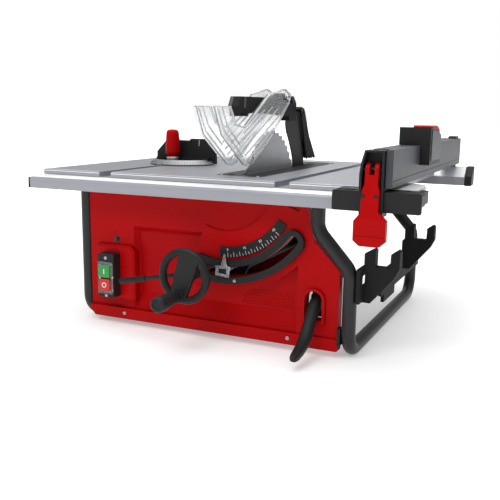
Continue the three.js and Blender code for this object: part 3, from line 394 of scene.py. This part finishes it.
# ------------------------------------------------------------------ CAD nodes that are shown
SHOWN = {
    "table_top": ("cast_top", 3.2), "throat_insert": ("black", 0.4), "front_rail": ("rail", 0.5),
    "rear_rail": ("rail", 0.5), "front_rail_cap_left": ("black", 0.8),
    "front_rail_cap_right": ("black", 1.2), "rear_rail_cap_left": ("black", 0.8),
    "rear_rail_cap_right": ("black", 1.2), "front_rail_bracket": ("steel", 0.4),
    "rear_rail_bracket": ("steel", 0.4), "tool_bracket": ("black_matte", 1.5),
    "leg_bumper": ("black", 1.0), "front_panel": ("red", 1.5), "left_panel": ("red", 0.6),
    "base_pan": ("black", 0.3), "rear_panel": ("red", 0.6), "dust_port": ("black", 0.6),
    "bevel_slot_rim": ("black", 1.5), "switch_box": ("black", 1.0), "switch_bezel": ("clear_lens", 0.5),
    "start_button": ("green", 0.8), "stop_button": ("button_red", 0.8), "fence_beam": ("fence", 0.8),
    "fence_head": ("black", 1.5), "scale_lens": ("clear_lens", 0.3), "fence_rear_clamp": ("black", 1.0),
    "fence_top_pad": ("black", 1.0), "fence_lever": ("red", 1.5), "fence_block": ("black", 1.5),
    "block_latch": ("red", 1.0), "mitre_bar": ("bright", 0.4), "mitre_head": ("black", 0.6),
    "mitre_plate": ("black", 0.8), "trunnion_front": ("shade_dark", 0.5),
    "trunnion_rear": ("shade_dark", 0.5), "tilt_frame": ("shade_dark", 0.6),
    "guide_post_front": ("bright", 0.4), "guide_post_rear": ("bright", 0.4),
    "bevel_lock_handle": ("black", 0.4), "elevation_shaft": ("steel", 0.2), "lead_screw": ("bright", 0.2),
    "lift_carriage": ("cast_alloy", 0.8), "motor_housing": ("black", 1.0), "motor_rotor": ("steel", 0.2),
    "arbor_shaft": ("steel", 0.2), "arbor_nut": ("steel", 0.5), "blade": ("blade_steel", 0.15),
    "riving_knife": ("knife", 0.3), "guard_arm": ("black_matte", 0.8),
    "guard_shield_left": ("clear", 0.5), "guard_shield_right": ("clear", 0.5),
    "kickback_pawls": ("black_matte", 0.3),
}
# Pieces whose rounded edges get a painted highlight.
HIGHLIGHT_EDGED = ("table_top", "front_panel", "fence_head", "fence_block", "fence_lever", "front_rail_cap_right",
         "front_rail_cap_left", "rear_rail_cap_right", "bevel_slot_rim", "mitre_plate", "block_latch")
for node_name, (mat_name, edge) in SHOWN.items():
    paint(NODES[node_name], mat_name, node_name in HIGHLIGHT_EDGED)
    work_edges(NODES[node_name], edge)


# ------------------------------------------------------------------ frame tubes
def frame_tube(name, bottom_x, top_x, front, node):
    """One bent loop: two legs and the run along the ground, cranked in where the top is further in."""
    front_top, rear_top, rear = 263.7, 257.7, 515.0
    shoulder_high, shoulder_low = 224.0, 156.0
    corners = [(top_x, front, front_top)]
    if bottom_x != top_x:
        corners += [(top_x, front, shoulder_high), (bottom_x, front, shoulder_low)]
    corners += [(bottom_x, front, TUBE_RADIUS), (bottom_x, rear, TUBE_RADIUS)]
    if bottom_x != top_x:
        corners += [(bottom_x, rear, shoulder_low), (top_x, rear, shoulder_high)]
    corners.append((top_x, rear, rear_top))
    bm = bmesh.new()
    add_sweep(bm, bent_path(corners, TUBE_BEND), TUBE_RADIUS, 32)
    piece(name, bm, "tube", "base", replaces=(node,))


frame_tube("left_leg_loop", 73.5, 73.5, 40.0, "frame_tube_left")
frame_tube("right_leg_loop", 630.0, 569.0, 27.0, "frame_tube_right")


# ------------------------------------------------------------------ screws and bolts
def cross_screw(name, place, direction, radius, body, mat="zinc"):
    """A pan head with a cross recess: a rounded ring of petals round a sunk cross."""
    u, v, w = ring_frame(direction)
    bm = bmesh.new()
    head = [(1.0, 0), (0.97, 0.22), (0.80, 0.42), (0.52, 0.50), (0.40, 0.26), (0, 0.20)]
    add_lathe(bm, [(radius * r, radius * h) for r, h in head], place, direction, 28)
    middle = Vector(place) + w * radius * 0.40
    for long, wide in ((u, v), (v, u)):
        add_block(bm, middle, long * radius * 0.16, wide * radius * 0.46, w * radius * 0.09)
    piece(name, bm, mat, body)


def hex_bolt(name, place, direction, radius, body, mat="zinc"):
    """A hexagon head with a chamfered top on a round washer."""
    bm = bmesh.new()
    add_lathe(bm, [(radius * 1.45, 0), (radius * 1.45, 1.2), (radius * 0.6, 1.2)], place, direction, 32)
    add_lathe(bm, [(radius, 1.2), (radius, 1.2 + radius * 0.5), (radius * 0.86, 1.2 + radius * 0.66),
                   (0, 1.2 + radius * 0.66)], place, direction, 6)
    piece(name, bm, mat, body, edge=0.2)


SCREWS = {
    "switch_screw_top": ((146.5, -4, 138.5), FRONT, 3.4, "base"),
    "switch_screw_low": ((146.5, -4, 63.8), FRONT, 3.2, "base"),
    "panel_screw_left": ((170, 22, 24), FRONT, 3.6, "base"),
    "panel_screw_right": ((519, 22, 24), FRONT, 3.6, "base"),
    "rim_screw_right": ((415.5, 16, 118.9), FRONT, 3.0, "base"),
    "insert_screw_1": ((361, 71, INSERT_SCREW), UP, 3.0, "base"),
    "insert_screw_2": ((434, 71, INSERT_SCREW), UP, 3.0, "base"),
    "insert_screw_3": ((361, 487, INSERT_SCREW), UP, 3.0, "base"),
    "insert_screw_4": ((434, 487, INSERT_SCREW), UP, 3.0, "base"),
    "rear_screw_1": ((100, 514.3, 40), BACK, 3.6, "base"),
    "rear_screw_2": ((405, 514.3, 40), BACK, 3.6, "base"),
    "rear_screw_3": ((100, 514.3, 240), BACK, 3.6, "base"),
    "rear_screw_4": ((405, 514.3, 240), BACK, 3.6, "base"),
}
for screw_name, (place, direction, radius, body) in SCREWS.items():
    cross_screw(screw_name, place, direction, radius, body)
hex_bolt("panel_bolt", (150, 30, 171), FRONT, 4.6, "base", "dark_screw")
hex_bolt("bracket_bolt_front", (649, 80, 98), RIGHT, 5.0, "base")
hex_bolt("bracket_bolt_rear", (649, 470, 98), RIGHT, 5.0, "base")


# ------------------------------------------------------------------ crank wheel, grip and mitre knob
def crank_wheel():
    """A ring with a hub and a grip boss, and the broad arm that joins them."""
    x, y, z = WHEEL
    major, minor = 43.5, 7.0
    rim = bmesh.new()
    turns = [2 * math.pi * k / 18 for k in range(18)]
    ring = [(major + minor * math.cos(a), minor * math.sin(a)) for a in turns]
    add_lathe(rim, ring, (x, y, z), BACK, 72, closed=True)
    hub = [(0, -4.8), (14.0, -4.8), (15.2, -4.0), (16.6, 9.4), (16.2, 10), (0, 10)]
    add_lathe(rim, hub, (x, y, z), BACK, 48)
    boss = [(0, -8.0), (10.8, -8.0), (12.4, -7.2), (13, -5.8), (13, 3.2), (12.2, 4), (0, 4)]
    add_lathe(rim, boss, (GRIP[0], y, GRIP[2]), BACK, 40)
    arm = bmesh.new()
    run = Vector((x - GRIP[0], z - GRIP[2])).normalized()
    side = Vector((-run.y, run.x))
    spots = [(-major, 15), (-major, -15), (-24, -17.5), (-10, -18.5), (10, -19.5), (major, -20.5),
             (major, 20.5), (10, 19.5), (-10, 18.5), (-24, 17.5)]
    outline = [(x + run.x * a + side.x * b, z + run.y * a + side.y * b) for a, b in spots]
    add_slab(arm, outline, y - 5.3, y + 4.3, "y")
    piece("crank_wheel_rim", rim, "black", "handwheel", replaces=("handwheel",))
    piece("crank_wheel_arm", arm, "black", "handwheel", edge=2.4, segments=3, replaces=("handwheel",))


crank_wheel()

GRIP_PROFILE = [(0, 2.6), (6.6, 2.6), (7.4, 1.6), (8.4, 0.5), (10.0, 0.0), (12.0, 0.6), (13.6, 2.4),
                (14.4, 5.5), (14.5, 11), (14.4, 18), (13.9, 26), (13.0, 34), (11.9, 42), (10.9, 50),
                (10.3, 56), (10.2, 60), (9.8, 63.6), (9.0, 64.7), (0, 64.7)]
KNOB_PROFILE = [(0, 0), (10.6, 0), (11.0, 4.4), (12.6, 6.8), (14.6, 9.6), (15.6, 13), (15.8, 18),
                (15.7, 26), (15.3, 34), (14.8, 42), (14.3, 50), (13.8, 55), (12.9, 58.6), (11.0, 61.0),
                (7.8, 62.4), (4.0, 62.9), (0, 63)]
grip_mesh = bmesh.new()
add_lathe(grip_mesh, GRIP_PROFILE, GRIP, BACK, 48)
piece("crank_grip_bulb", grip_mesh, "grip", "crank_grip", replaces=("crank_grip",))
knob_mesh = bmesh.new()
add_lathe(knob_mesh, KNOB_PROFILE, (*MITRE_PIVOT, 318.3), UP, 48)
piece("mitre_knob_bulb", knob_mesh, "red", "mitre_knob", replaces=("mitre_knob",))


# ------------------------------------------------------------------ mitre gauge: degree band, collar, pointer
def mitre_details():
    """The half round degree band with its marks, the knob's collar, the pointer tab and the plate's slit."""
    cx, cy = MITRE_CENTRE
    section = [(75.0, 306.4), (75.3, 308.2), (62.6, 316.6), (61.2, 316.4), (61.2, 312.4), (67.4, 312.2)]
    gap, steps = 0.3, 60
    band = bmesh.new()
    rings = []
    for i in range(steps + 1):
        a = math.pi + math.pi * i / steps
        ring = [(cx + r * math.cos(a), cy - gap + r * math.sin(a), z) for r, z in section]
        rings.append([band.verts.new(at(*spot)) for spot in ring])
    for first, second in zip(rings, rings[1:]):
        bridge(band, first, second)
    band.faces.new(rings[0])
    band.faces.new(rings[-1])
    piece("mitre_degree_band", band, "band_steel", "mitre_head")
    marks = bmesh.new()
    slope = Vector((-12.7, 0, 8.4)).normalized()
    for k in range(-60, 61, 5):
        a = math.radians(270 + k)
        out = Vector((math.cos(a), math.sin(a), 0))
        along = out * slope.x + Vector((0, 0, slope.z))
        normal = out * slope.z - Vector((0, 0, slope.x))
        length = 4.0 if k % 15 == 0 else 2.4
        mid = Vector((cx, cy - gap, 312.4)) + out * 68.95 - along * (5.6 - length)
        add_block(marks, mid, along * length, out.cross(Vector((0, 0, 1))) * 0.35, normal * 0.18)
    piece("mitre_degree_marks", marks, "dark_screw", "mitre_head")
    collar = bmesh.new()
    profile = [(11.1, 0), (13.0, 0), (13.4, 0.6), (13.4, 7.6), (12.6, 8.6), (11.3, 8.6)]
    add_lathe(collar, profile, (*MITRE_PIVOT, 313.0), UP, 48, closed=True)
    piece("mitre_collar", collar, "zinc", "mitre_head")
    tab = bmesh.new()
    outline = [(193, 305.4), (200, 305.4), (200, 306.9), (194.6, 306.9), (194.2, 312.6), (192.9, 312.6)]
    add_slab(tab, outline, 143, 152, "x")
    piece("mitre_pointer", tab, "bright", "mitre_gauge", edge=0.3)
    slit = bmesh.new()
    add_slab(slit, [(199.4, 345.5), (200.8, 345.5), (202.0, 358.5), (200.6, 358.5)], 273.9, 274.5, "y")
    piece("mitre_plate_mark", slit, "zinc", "mitre_head")


mitre_details()


# ------------------------------------------------------------------ rail lock lever and bevel pointer
def lock_lever():
    """A pinned lever whose grip bends forward and thins out towards its tip, and the back of its pocket."""
    x, y, z = LOCK_PIVOT
    sides, squareness, across = 24, 3.2, Vector((1, 0, 0))
    # y and z from the pin, half height, half width
    stations = [(7.5, 2.5, 6.0, 8.5), (2, 0.5, 10.0, 10.5), (-9, -4, 13.0, 10.5), (-24, -13, 12.0, 10.5),
                (-38, -27, 10.5, 10.3), (-51, -41, 9.8, 10.2), (-63, -54, 9.6, 10.2), (-78, -65, 9.0, 9.9),
                (-96, -71.5, 8.4, 9.2), (-112, -75.2, 7.4, 8.2), (-121, -76.6, 5.6, 6.4),
                (-125.4, -77.0, 3.0, 3.4)]
    spots = [Vector((0, a, b)) for a, b, _, _ in stations]
    bm = bmesh.new()
    rings = []
    for i, (_, _, high, wide) in enumerate(stations):
        along = (spots[min(i + 1, len(spots) - 1)] - spots[max(i - 1, 0)]).normalized()
        up = across.cross(along)
        middle = Vector((x, y, z)) + spots[i]
        ring = []
        for k in range(sides):
            a = 2 * math.pi * k / sides
            c, d = math.cos(a), math.sin(a)
            out = (abs(c) ** squareness + abs(d) ** squareness) ** (-1 / squareness)
            ring.append(bm.verts.new(at(*(middle + across * wide * c * out + up * high * d * out))))
        rings.append(ring)
    for first, second in zip(rings, rings[1:]):
        bridge(bm, first, second)
    bm.faces.new(rings[0])
    bm.faces.new(rings[-1])
    pin = [(0, 0), (5.4, 0), (6.0, 0.6), (6.0, 25.4), (5.4, 26), (0, 26)]
    add_lathe(bm, pin, (x - 13, y, z), RIGHT, 28)
    piece("rail_lock_grip", bm, "black", "rail_lock", replaces=("rail_lock_lever",))
    back = bmesh.new()
    outline = [(x - 18, 58), (x + 18, 58), (x + 18, 118), (x + 11, 124), (x - 11, 124), (x - 18, 118)]
    add_slab(back, outline, 68, 70, "y")
    piece("lock_pocket_back", back, "black_matte", "base")


def bevel_mark():
    """A tapering pointer on a small window frame, on the arm that runs back through the bevel slot."""
    bm = bmesh.new()
    arrow = [(390.0, 144.6), (403.4, 144.6), (401.0, 153.0), (398.4, 168.0), (396.4, 168.0), (392.6, 153.0)]
    add_slab(bm, arrow, 10.6, 13.2, "y")
    outer = [(379.4, 127.0), (406.4, 124.6), (406.4, 145.4), (379.4, 144.8)]
    inner = [(385.0, 131.4), (401.4, 130.0), (401.4, 140.6), (385.0, 140.2)]
    rings = [[bm.verts.new(at(u, y, v)) for u, v in outline]
             for outline, y in ((outer, 10.5), (outer, 15.5), (inner, 15.5), (inner, 10.5))]
    for first, second in zip(rings, rings[1:] + rings[:1]):
        bridge(bm, first, second)
    add_slab(bm, [(386, 130.6), (394, 130.6), (394, 138), (386, 138)], 14.4, 75.6, "y")
    piece("bevel_pointer_frame", bm, "bright", "tilt", edge=0.35, replaces=("bevel_pointer",))
    window = bmesh.new()
    add_slab(window, [(384.4, 130.4), (402.0, 129.4), (402.0, 141.2), (384.4, 140.8)], 13.2, 14.3, "y")
    piece("bevel_pointer_window", window, "black", "tilt")


lock_lever()
bevel_mark()


# ------------------------------------------------------------------ bevel scale and switch marks
def bevel_scale():
    """A curved scale with a tick every 2.5 degrees and a number every 15."""
    scale = bmesh.new()
    add_slab(scale, fan_band(126.0, 145.5, -3.5, 57.5, 40), BEVEL_FRONT, 25.95, "y")
    piece("bevel_scale", scale, "black", "base", edge=0.3)
    ticks = bmesh.new()
    half_tick = 0.16
    for step in range(19):
        angle = POINTER_ANGLE + 2.5 * step
        inner = 136.5 if step % 2 == 0 else 140.0
        band = fan_band(inner, 145.0, angle - half_tick, angle + half_tick, 1)
        add_slab(ticks, band, BEVEL_FRONT - 0.12, BEVEL_FRONT + 0.3, "y")
    piece("bevel_ticks", ticks, "white_print", "base")
    for degrees in (0, 15, 30, 45):
        angle = POINTER_ANGLE + degrees
        x, z = fan_point(131.6, angle)
        lettering(f"bevel_number_{degrees}", str(degrees), 6.6, (x, BEVEL_FRONT - 0.05, z), angle, "base")


def switch_marks():
    """The generic on and off signs: a bar and a ring."""
    bar = bmesh.new()
    outline = [(145.6, 108), (147.6, 108), (147.6, 118), (145.6, 118)]
    add_slab(bar, outline, BUTTON_FACE - PRINT, BUTTON_FACE + 0.3, "y")
    piece("start_mark", bar, "white_print", "start_button")
    ring = bmesh.new()
    profile = [(3.5, -PRINT), (5.2, -PRINT), (5.2, 0.3), (3.5, 0.3)]
    add_lathe(ring, profile, (146.5, BUTTON_FACE, 86), BACK, 40, closed=True)
    piece("stop_mark", ring, "white_print", "stop_button")


def grip_dots():
    """Raised dots in staggered rows on the sunk patch of the panel, which slopes at its left end."""
    patch_left, patch_right, patch_bottom, patch_front = 418.0, 524.0, 74.0, 43.2
    slope, pitch, margin = 18.0 / 30.0, 5.2, 5.0
    dome = [(1.5, 0.1), (1.35, -0.6), (0.8, -1.1), (0, -1.2)]
    dots = bmesh.new()
    for row in range(5):
        z = patch_bottom + 4.5 + row * pitch
        start = patch_left + (z - patch_bottom) * slope + margin
        for column in range(19):
            x = start + column * pitch + (row % 2) * pitch / 2
            if x < patch_right:
                add_lathe(dots, dome, (x, patch_front, z), BACK, 10)
    piece("panel_grip_dots", dots, "red", "base")


bevel_scale()
switch_marks()
grip_dots()


# ------------------------------------------------------------------ rip fence details
def fence_details():
    """The sliding block's cover, the lever's lip and sockets, and the scale under the lens."""
    cover = bmesh.new()
    add_slab(cover, [(160, 340), (246, 340), (246, 382.5), (213, 390.2), (160, 395)], 726.8, 728.4, "x")
    piece("fence_block_cover", cover, "block_cover", "fence_block", edge=0.5)
    lip = bmesh.new()
    outline = [(657, 227), (667, 219.4), (697.5, 219.4), (706.5, 227), (706.5, 234), (657, 234)]
    add_slab(lip, outline, -64.6, -60.8, "y")
    piece("fence_lever_lip", lip, "red", "fence_lever", edge=1.4, segments=3)
    # Dark plugs that paint the shade inside the lever's sockets.
    holes = bmesh.new()
    for x in (668.3, 688.6):
        add_lathe(holes, [(0, 0), (2.7, 0), (3.0, 0.4), (3.0, 2.2), (0, 2.2)], (x, -57.6, 296.6), BACK, 28)
    piece("fence_lever_sockets", holes, "shade_dark", "fence_lever")
    strip = bmesh.new()
    add_slab(strip, [(621.4, -37.4), (650.6, -37.4), (650.6, -24.6), (621.4, -24.6)], 297.02, 297.2, "z")
    piece("fence_scale_strip", strip, "white_print", "fence")
    ticks = bmesh.new()
    foot, half, pitch = -37.2, 0.2, 1.95
    for k in range(15):
        x = 622.5 + pitch * k
        reach = 7.5 if k % 5 == 0 else 4.5
        outline = [(x - half, foot), (x + half, foot), (x + half, foot + reach), (x - half, foot + reach)]
        add_slab(ticks, outline, 297.1, 297.26, "z")
    piece("fence_scale_ticks", ticks, "dark_screw", "fence")


fence_details()


def bright_faces():
    """Thin pale skins that paint highlights on the table's front edge between its slots, on the rails' sloped
    faces and on the rail's end plate.
    """
    edge = bmesh.new()
    section = [(-0.22, 301.6), (-0.22, 302.6), (2.4, 305.22), (3.6, 305.22), (3.4, 304.8), (0.2, 301.6)]
    for start, stop in ((1.0, 133.4), (161.6, 496.9), (525.1, 664.0)):
        add_slab(edge, section, start, stop, "x")
    piece("table_edge_highlight", edge, "pale_highlight", "base")
    rail_left, rail_right = -18.0, 730.0
    # painted highlight on the front rail's sloped face
    slope_highlight = bmesh.new()
    add_slab(slope_highlight, [(-15.6, 289.45), (-1.2, 294.2), (-1.3, 294.5), (-15.7, 289.75)], rail_left, 613.0, "x")
    piece("front_rail_highlight", slope_highlight, "pale_highlight", "rails")
    rear = bmesh.new()
    slope = [(562.6, 280.7), (585.6, 301.8), (585.3, 302.1), (562.3, 281.0)]
    flat = [(586.6, 302.0), (599.0, 302.0), (599.0, 302.3), (586.6, 302.3)]
    for section in (slope, flat):
        add_slab(rear, section, rail_left, rail_right, "x")
    piece("rear_rail_highlight", rear, "pale_highlight", "rails")
    end = bmesh.new()
    outline = [(669.5, 2), (739.5, 2), (739.5, 59), (730, 100), (710.5, 117.5), (669.5, 117.5)]
    add_slab(end, outline, 303.0, 303.35, "z")
    piece("rail_end_highlight", end, "pale_highlight", "rails")


bright_faces()


# ------------------------------------------------------------------ guard: clear shields and small knobs
SHIELD_EDGE = [(-55, 430), (-28, 382), (60, 326), (79, 322.5), (100, 326), (179, 372), (272, 441),
               (278, 457), (246, 467), (168, 455), (60, 394), (22, 400), (0, 430)]
RIBS = [(60, 383, 150, 425), (46, 366, 188, 431), (57, 354, 214, 427), (66, 343, 226, 416),
        (80, 336, 196, 390), (102, 336, 160, 363), (-43, 426, -19, 388), (-19, 388, 56, 340),
        (-29, 428, -8, 396), (-8, 396, 44, 362)]


SHIELD_HALF = 1.5                   # half the thickness of a shield's plate
RIM_WIDTH, RIM_HEIGHT, RIM_LEAST = 2.2, 3.6, 0.15
TABLE_AIR = 2.8                     # what the rim keeps clear of the table when the guard is tilted


def shield_details(side_name):
    """The raised rim, ribs and rivets on the outward face of one clear shield."""
    x, out = SHIELDS[side_name]
    face = x + out * SHIELD_HALF
    rim = bmesh.new()
    pts = [Vector((p[0], p[1])) for p in SHIELD_EDGE]
    middle = len(pts)
    inner = []
    for i, p in enumerate(pts):
        a, b = (p - pts[i - 1]).normalized(), (pts[(i + 1) % middle] - p).normalized()
        normal = Vector((-(a.y + b.y), a.x + b.x)).normalized()
        inner.append(p + normal * RIM_WIDTH / max(0.5, (a + b).length / 2))
    # the rim thins out low down, where the tilted guard comes close to the table
    room = [p.y - PIVOT[1] - abs(face - PIVOT[0]) - TABLE_AIR for p in pts]
    tall = [min(RIM_HEIGHT, max(RIM_LEAST, height)) for height in room]
    near = [-0.1] * middle
    rings = [[rim.verts.new(at(face + out * height, q.x, q.y)) for q, height in zip(loop, heights)]
             for loop, heights in ((pts, near), (pts, tall), (inner, tall), (inner, near))]
    for first, second in zip(rings, rings[1:] + rings[:1]):
        bridge(rim, first, second)
    piece(f"shield_rim_{side_name}", rim, "clear_edge", f"shield_{side_name}", edge=0.5)
    ribs = bmesh.new()
    for y0, z0, y1, z1 in RIBS:
        run = Vector((0, y1 - y0, z1 - z0))
        across = Vector((0, -run.z, run.y)).normalized()
        add_block(ribs, (face + out * 0.7, (y0 + y1) / 2, (z0 + z1) / 2), run / 2, across * 1.7, (0.9, 0, 0))
    piece(f"shield_ribs_{side_name}", ribs, "clear_edge", f"shield_{side_name}", edge=0.7)
    rivets = bmesh.new()
    dome = [(0, 2.6), (3.0, 2.4), (4.6, 1.2), (5.0, -0.1), (0, -0.1)]
    for y, z in ((79, 333), (99, 341)):
        add_lathe(rivets, dome, (face, y, z), (out, 0, 0), 32)
    piece(f"shield_rivets_{side_name}", rivets, "clear_edge", f"shield_{side_name}")


shield_details("left")
shield_details("right")


def guard_details():
    """Ribs on the guard's arm, caps on its pivot and its small knobs."""
    ribs = bmesh.new()
    add_slab(ribs, [(49.5, 430.5), (60.2, 448.0), (61.2, 447.6), (50.6, 430.2)], 384.2, 390.4, "x")
    for lo, hi in ((382.2, 383.4), (402.6, 403.8)):
        add_slab(ribs, [(74, 429), (82, 427), (84, 446.5), (77, 446.5)], lo, hi, "x")
    piece("guard_arm_ribs", ribs, "block_cover", "lift", edge=0.4)
    pin = bmesh.new()
    cap = [(0, 3.4), (4.6, 3.4), (6.2, 2.6), (6.8, 1.2), (6.8, 0), (0, 0)]
    for face, out in ((371.5, -1), (413.5, 1)):
        add_lathe(pin, cap, (face, 262, 450), (out, 0, 0), 32)
    piece("guard_pivot_caps", pin, "zinc", "lift")
    knobs = bmesh.new()
    disc = [(0, 0), (6.5, 0), (7.6, 1.4), (7.6, 7.6), (6.5, 9), (0, 9)]
    add_lathe(knobs, disc, (401.2, 303, 447), RIGHT, 32)
    stem = [(0, 0), (3.4, 0), (3.4, 7), (5.6, 8), (6.6, 10), (6.6, 14), (5.4, 15.4), (0, 15.4)]
    add_lathe(knobs, stem, (396.2, 352, 426.5), RIGHT, 32)
    button = [(0, 0), (4.6, 0), (4.8, 3.6), (3.6, 6.6), (0, 7.2)]
    add_lathe(knobs, button, (393, 325, 441.0), UP, 28)
    piece("guard_knobs", knobs, "black", "lift")


guard_details()


def carbide_tips():
    """One tip on the leading side of each tooth."""
    half_long, half_thick, half_wide, lead = 3.4, 1.3, 1.6, 0.7
    tips = bmesh.new()
    for tooth in range(BLADE_TEETH):
        angle = math.radians(360 / BLADE_TEETH * tooth + lead)
        out = Vector((0, math.sin(angle), -math.cos(angle)))
        along = Vector((0, math.cos(angle), math.sin(angle)))
        mid = Vector(BLADE) + out * (BLADE_RADIUS - half_long - 0.3)
        add_block(tips, mid, out * half_long, along * half_thick, (half_wide, 0, 0))
    piece("blade_tips", tips, "carbide", "arbor", edge=0.1)


carbide_tips()


# ------------------------------------------------------------------ floor, light and camera
CAMERA = {"place": (961.2, -1104.3, 420.4), "yaw": 24.691, "pitch": 11.074, "roll": 0.759, "lens": 50.72}
FLOOR_GLOW = 0.34                   # near the saw; 1.0 far away
FADE_FROM, FADE_TO = 0.7, 2.6       # metres from the saw's middle
SKY_LOW, SKY_HIGH = 0.16, 0.9


def look(yaw, pitch, roll):
    """A camera's rotation from its heading to the left of +Y, its downward pitch and its roll, in degrees."""
    yaw, pitch, roll = (math.radians(v) for v in (yaw, pitch, roll))
    forward = Vector((-math.sin(yaw) * math.cos(pitch), math.cos(yaw) * math.cos(pitch), -math.sin(pitch)))
    right = forward.cross(Vector((0, 0, 1))).normalized()
    up = right.cross(forward)
    side = right * math.cos(roll) + up * math.sin(roll)
    top = up * math.cos(roll) - right * math.sin(roll)
    return Matrix((side, top, -forward)).transposed().to_quaternion()


cam_data = bpy.data.cameras.new("camera")
cam_data.sensor_width = 36.0
cam_data.lens = CAMERA["lens"]
cam_data.clip_end = 60.0
cam = bpy.data.objects.new("camera", cam_data)
bpy.context.scene.collection.objects.link(cam)
cam.rotation_mode = "QUATERNION"
cam.location = at(*CAMERA["place"])
cam.rotation_quaternion = look(CAMERA["yaw"], CAMERA["pitch"], CAMERA["roll"])
bpy.context.scene.camera = cam


def floor():
    """A pale matt floor that brightens away from the saw, so that it has no horizon against the backdrop."""
    mesh = bpy.data.meshes.new("floor")
    half = 25.0
    mesh.from_pydata([(-half, -half, 0), (half, -half, 0), (half, half, 0), (-half, half, 0)], [],
                     [(0, 1, 2, 3)])
    obj = bpy.data.objects.new("floor", mesh)
    bpy.context.scene.collection.objects.link(obj)
    obj.location.z = -0.0002        # just under the feet
    mat, nt, bsdf = new_material("floor")
    cloud = noise(nt, coords(nt, (1, 1, 1)), 1.5, 2.0)
    nt.links.new(ramp(nt, cloud, (0.79, 0.79, 0.79), (0.81, 0.81, 0.81)), bsdf.inputs["Base Color"])
    bsdf.inputs["Roughness"].default_value = 0.9
    bsdf.inputs["Specular IOR Level"].default_value = 0.1
    bsdf.inputs["Emission Color"].default_value = (1.0, 1.0, 1.0, 1.0)
    reach = nt.nodes.new("ShaderNodeVectorMath")
    reach.operation = "LENGTH"
    nt.links.new(coords(nt, (1, 1, 1)), reach.inputs[0])
    fade = nt.nodes.new("ShaderNodeMapRange")
    fade.interpolation_type = "SMOOTHSTEP"
    for end, distance, glow in (("Min", FADE_FROM, FLOOR_GLOW), ("Max", FADE_TO, 1.0)):
        fade.inputs["From " + end].default_value = distance
        fade.inputs["To " + end].default_value = glow
    nt.links.new(reach.outputs["Value"], fade.inputs["Value"])
    nt.links.new(fade.outputs["Result"], bsdf.inputs["Emission Strength"])
    mesh.materials.append(mat)


floor()


def studio():
    """A white backdrop for the camera, and for everything else a soft sky that is dimmer at the horizon."""
    world = bpy.data.worlds.new("studio")
    bpy.context.scene.world = world
    world.use_nodes = True
    nt = world.node_tree
    nt.nodes.clear()
    out = nt.nodes.new("ShaderNodeOutputWorld")
    mix = nt.nodes.new("ShaderNodeMixShader")
    path = nt.nodes.new("ShaderNodeLightPath")
    backdrop = nt.nodes.new("ShaderNodeBackground")
    sky = nt.nodes.new("ShaderNodeBackground")
    tc = nt.nodes.new("ShaderNodeTexCoord")
    split = nt.nodes.new("ShaderNodeSeparateXYZ")
    nt.links.new(tc.outputs["Generated"], split.inputs[0])
    nt.links.new(ramp(nt, split.outputs["Z"], (SKY_LOW,) * 3, (SKY_HIGH,) * 3, 0.05, 0.85),
                 sky.inputs["Color"])
    backdrop.inputs["Color"].default_value = (1.0, 1.0, 1.0, 1.0)
    seen = nt.nodes.new("ShaderNodeMath")
    seen.operation = "MAXIMUM"
    nt.links.new(path.outputs["Is Camera Ray"], seen.inputs[0])
    nt.links.new(path.outputs["Is Transmission Ray"], seen.inputs[1])
    nt.links.new(seen.outputs[0], mix.inputs["Fac"])
    nt.links.new(sky.outputs[0], mix.inputs[1])
    nt.links.new(backdrop.outputs[0], mix.inputs[2])
    nt.links.new(mix.outputs[0], out.inputs[0])


studio()


def area(name, place, target, size, power):
    """A soft rectangular light, with lengths in metres and its power in watts."""
    data = bpy.data.lights.new(name, "AREA")
    data.shape = "RECTANGLE"
    data.size, data.size_y = size
    data.energy = power
    obj = bpy.data.objects.new(name, data)
    bpy.context.scene.collection.objects.link(obj)
    obj.location = place
    obj.rotation_euler = (Vector(target) - Vector(place)).to_track_quat("-Z", "Y").to_euler()


area("overhead", (-0.1, 0.1, 2.4), (0, 0, 0.2), (2.4, 2.0), 32.0)
area("front", (-0.3, -1.9, 1.9), (0, 0, 0.1), (1.0, 0.6), 16.0)
area("back", (-0.2, 2.4, 1.6), (0, 0, 0.3), (2.2, 0.9), 9.0)
bpy.context.scene.view_settings.view_transform = "Standard"
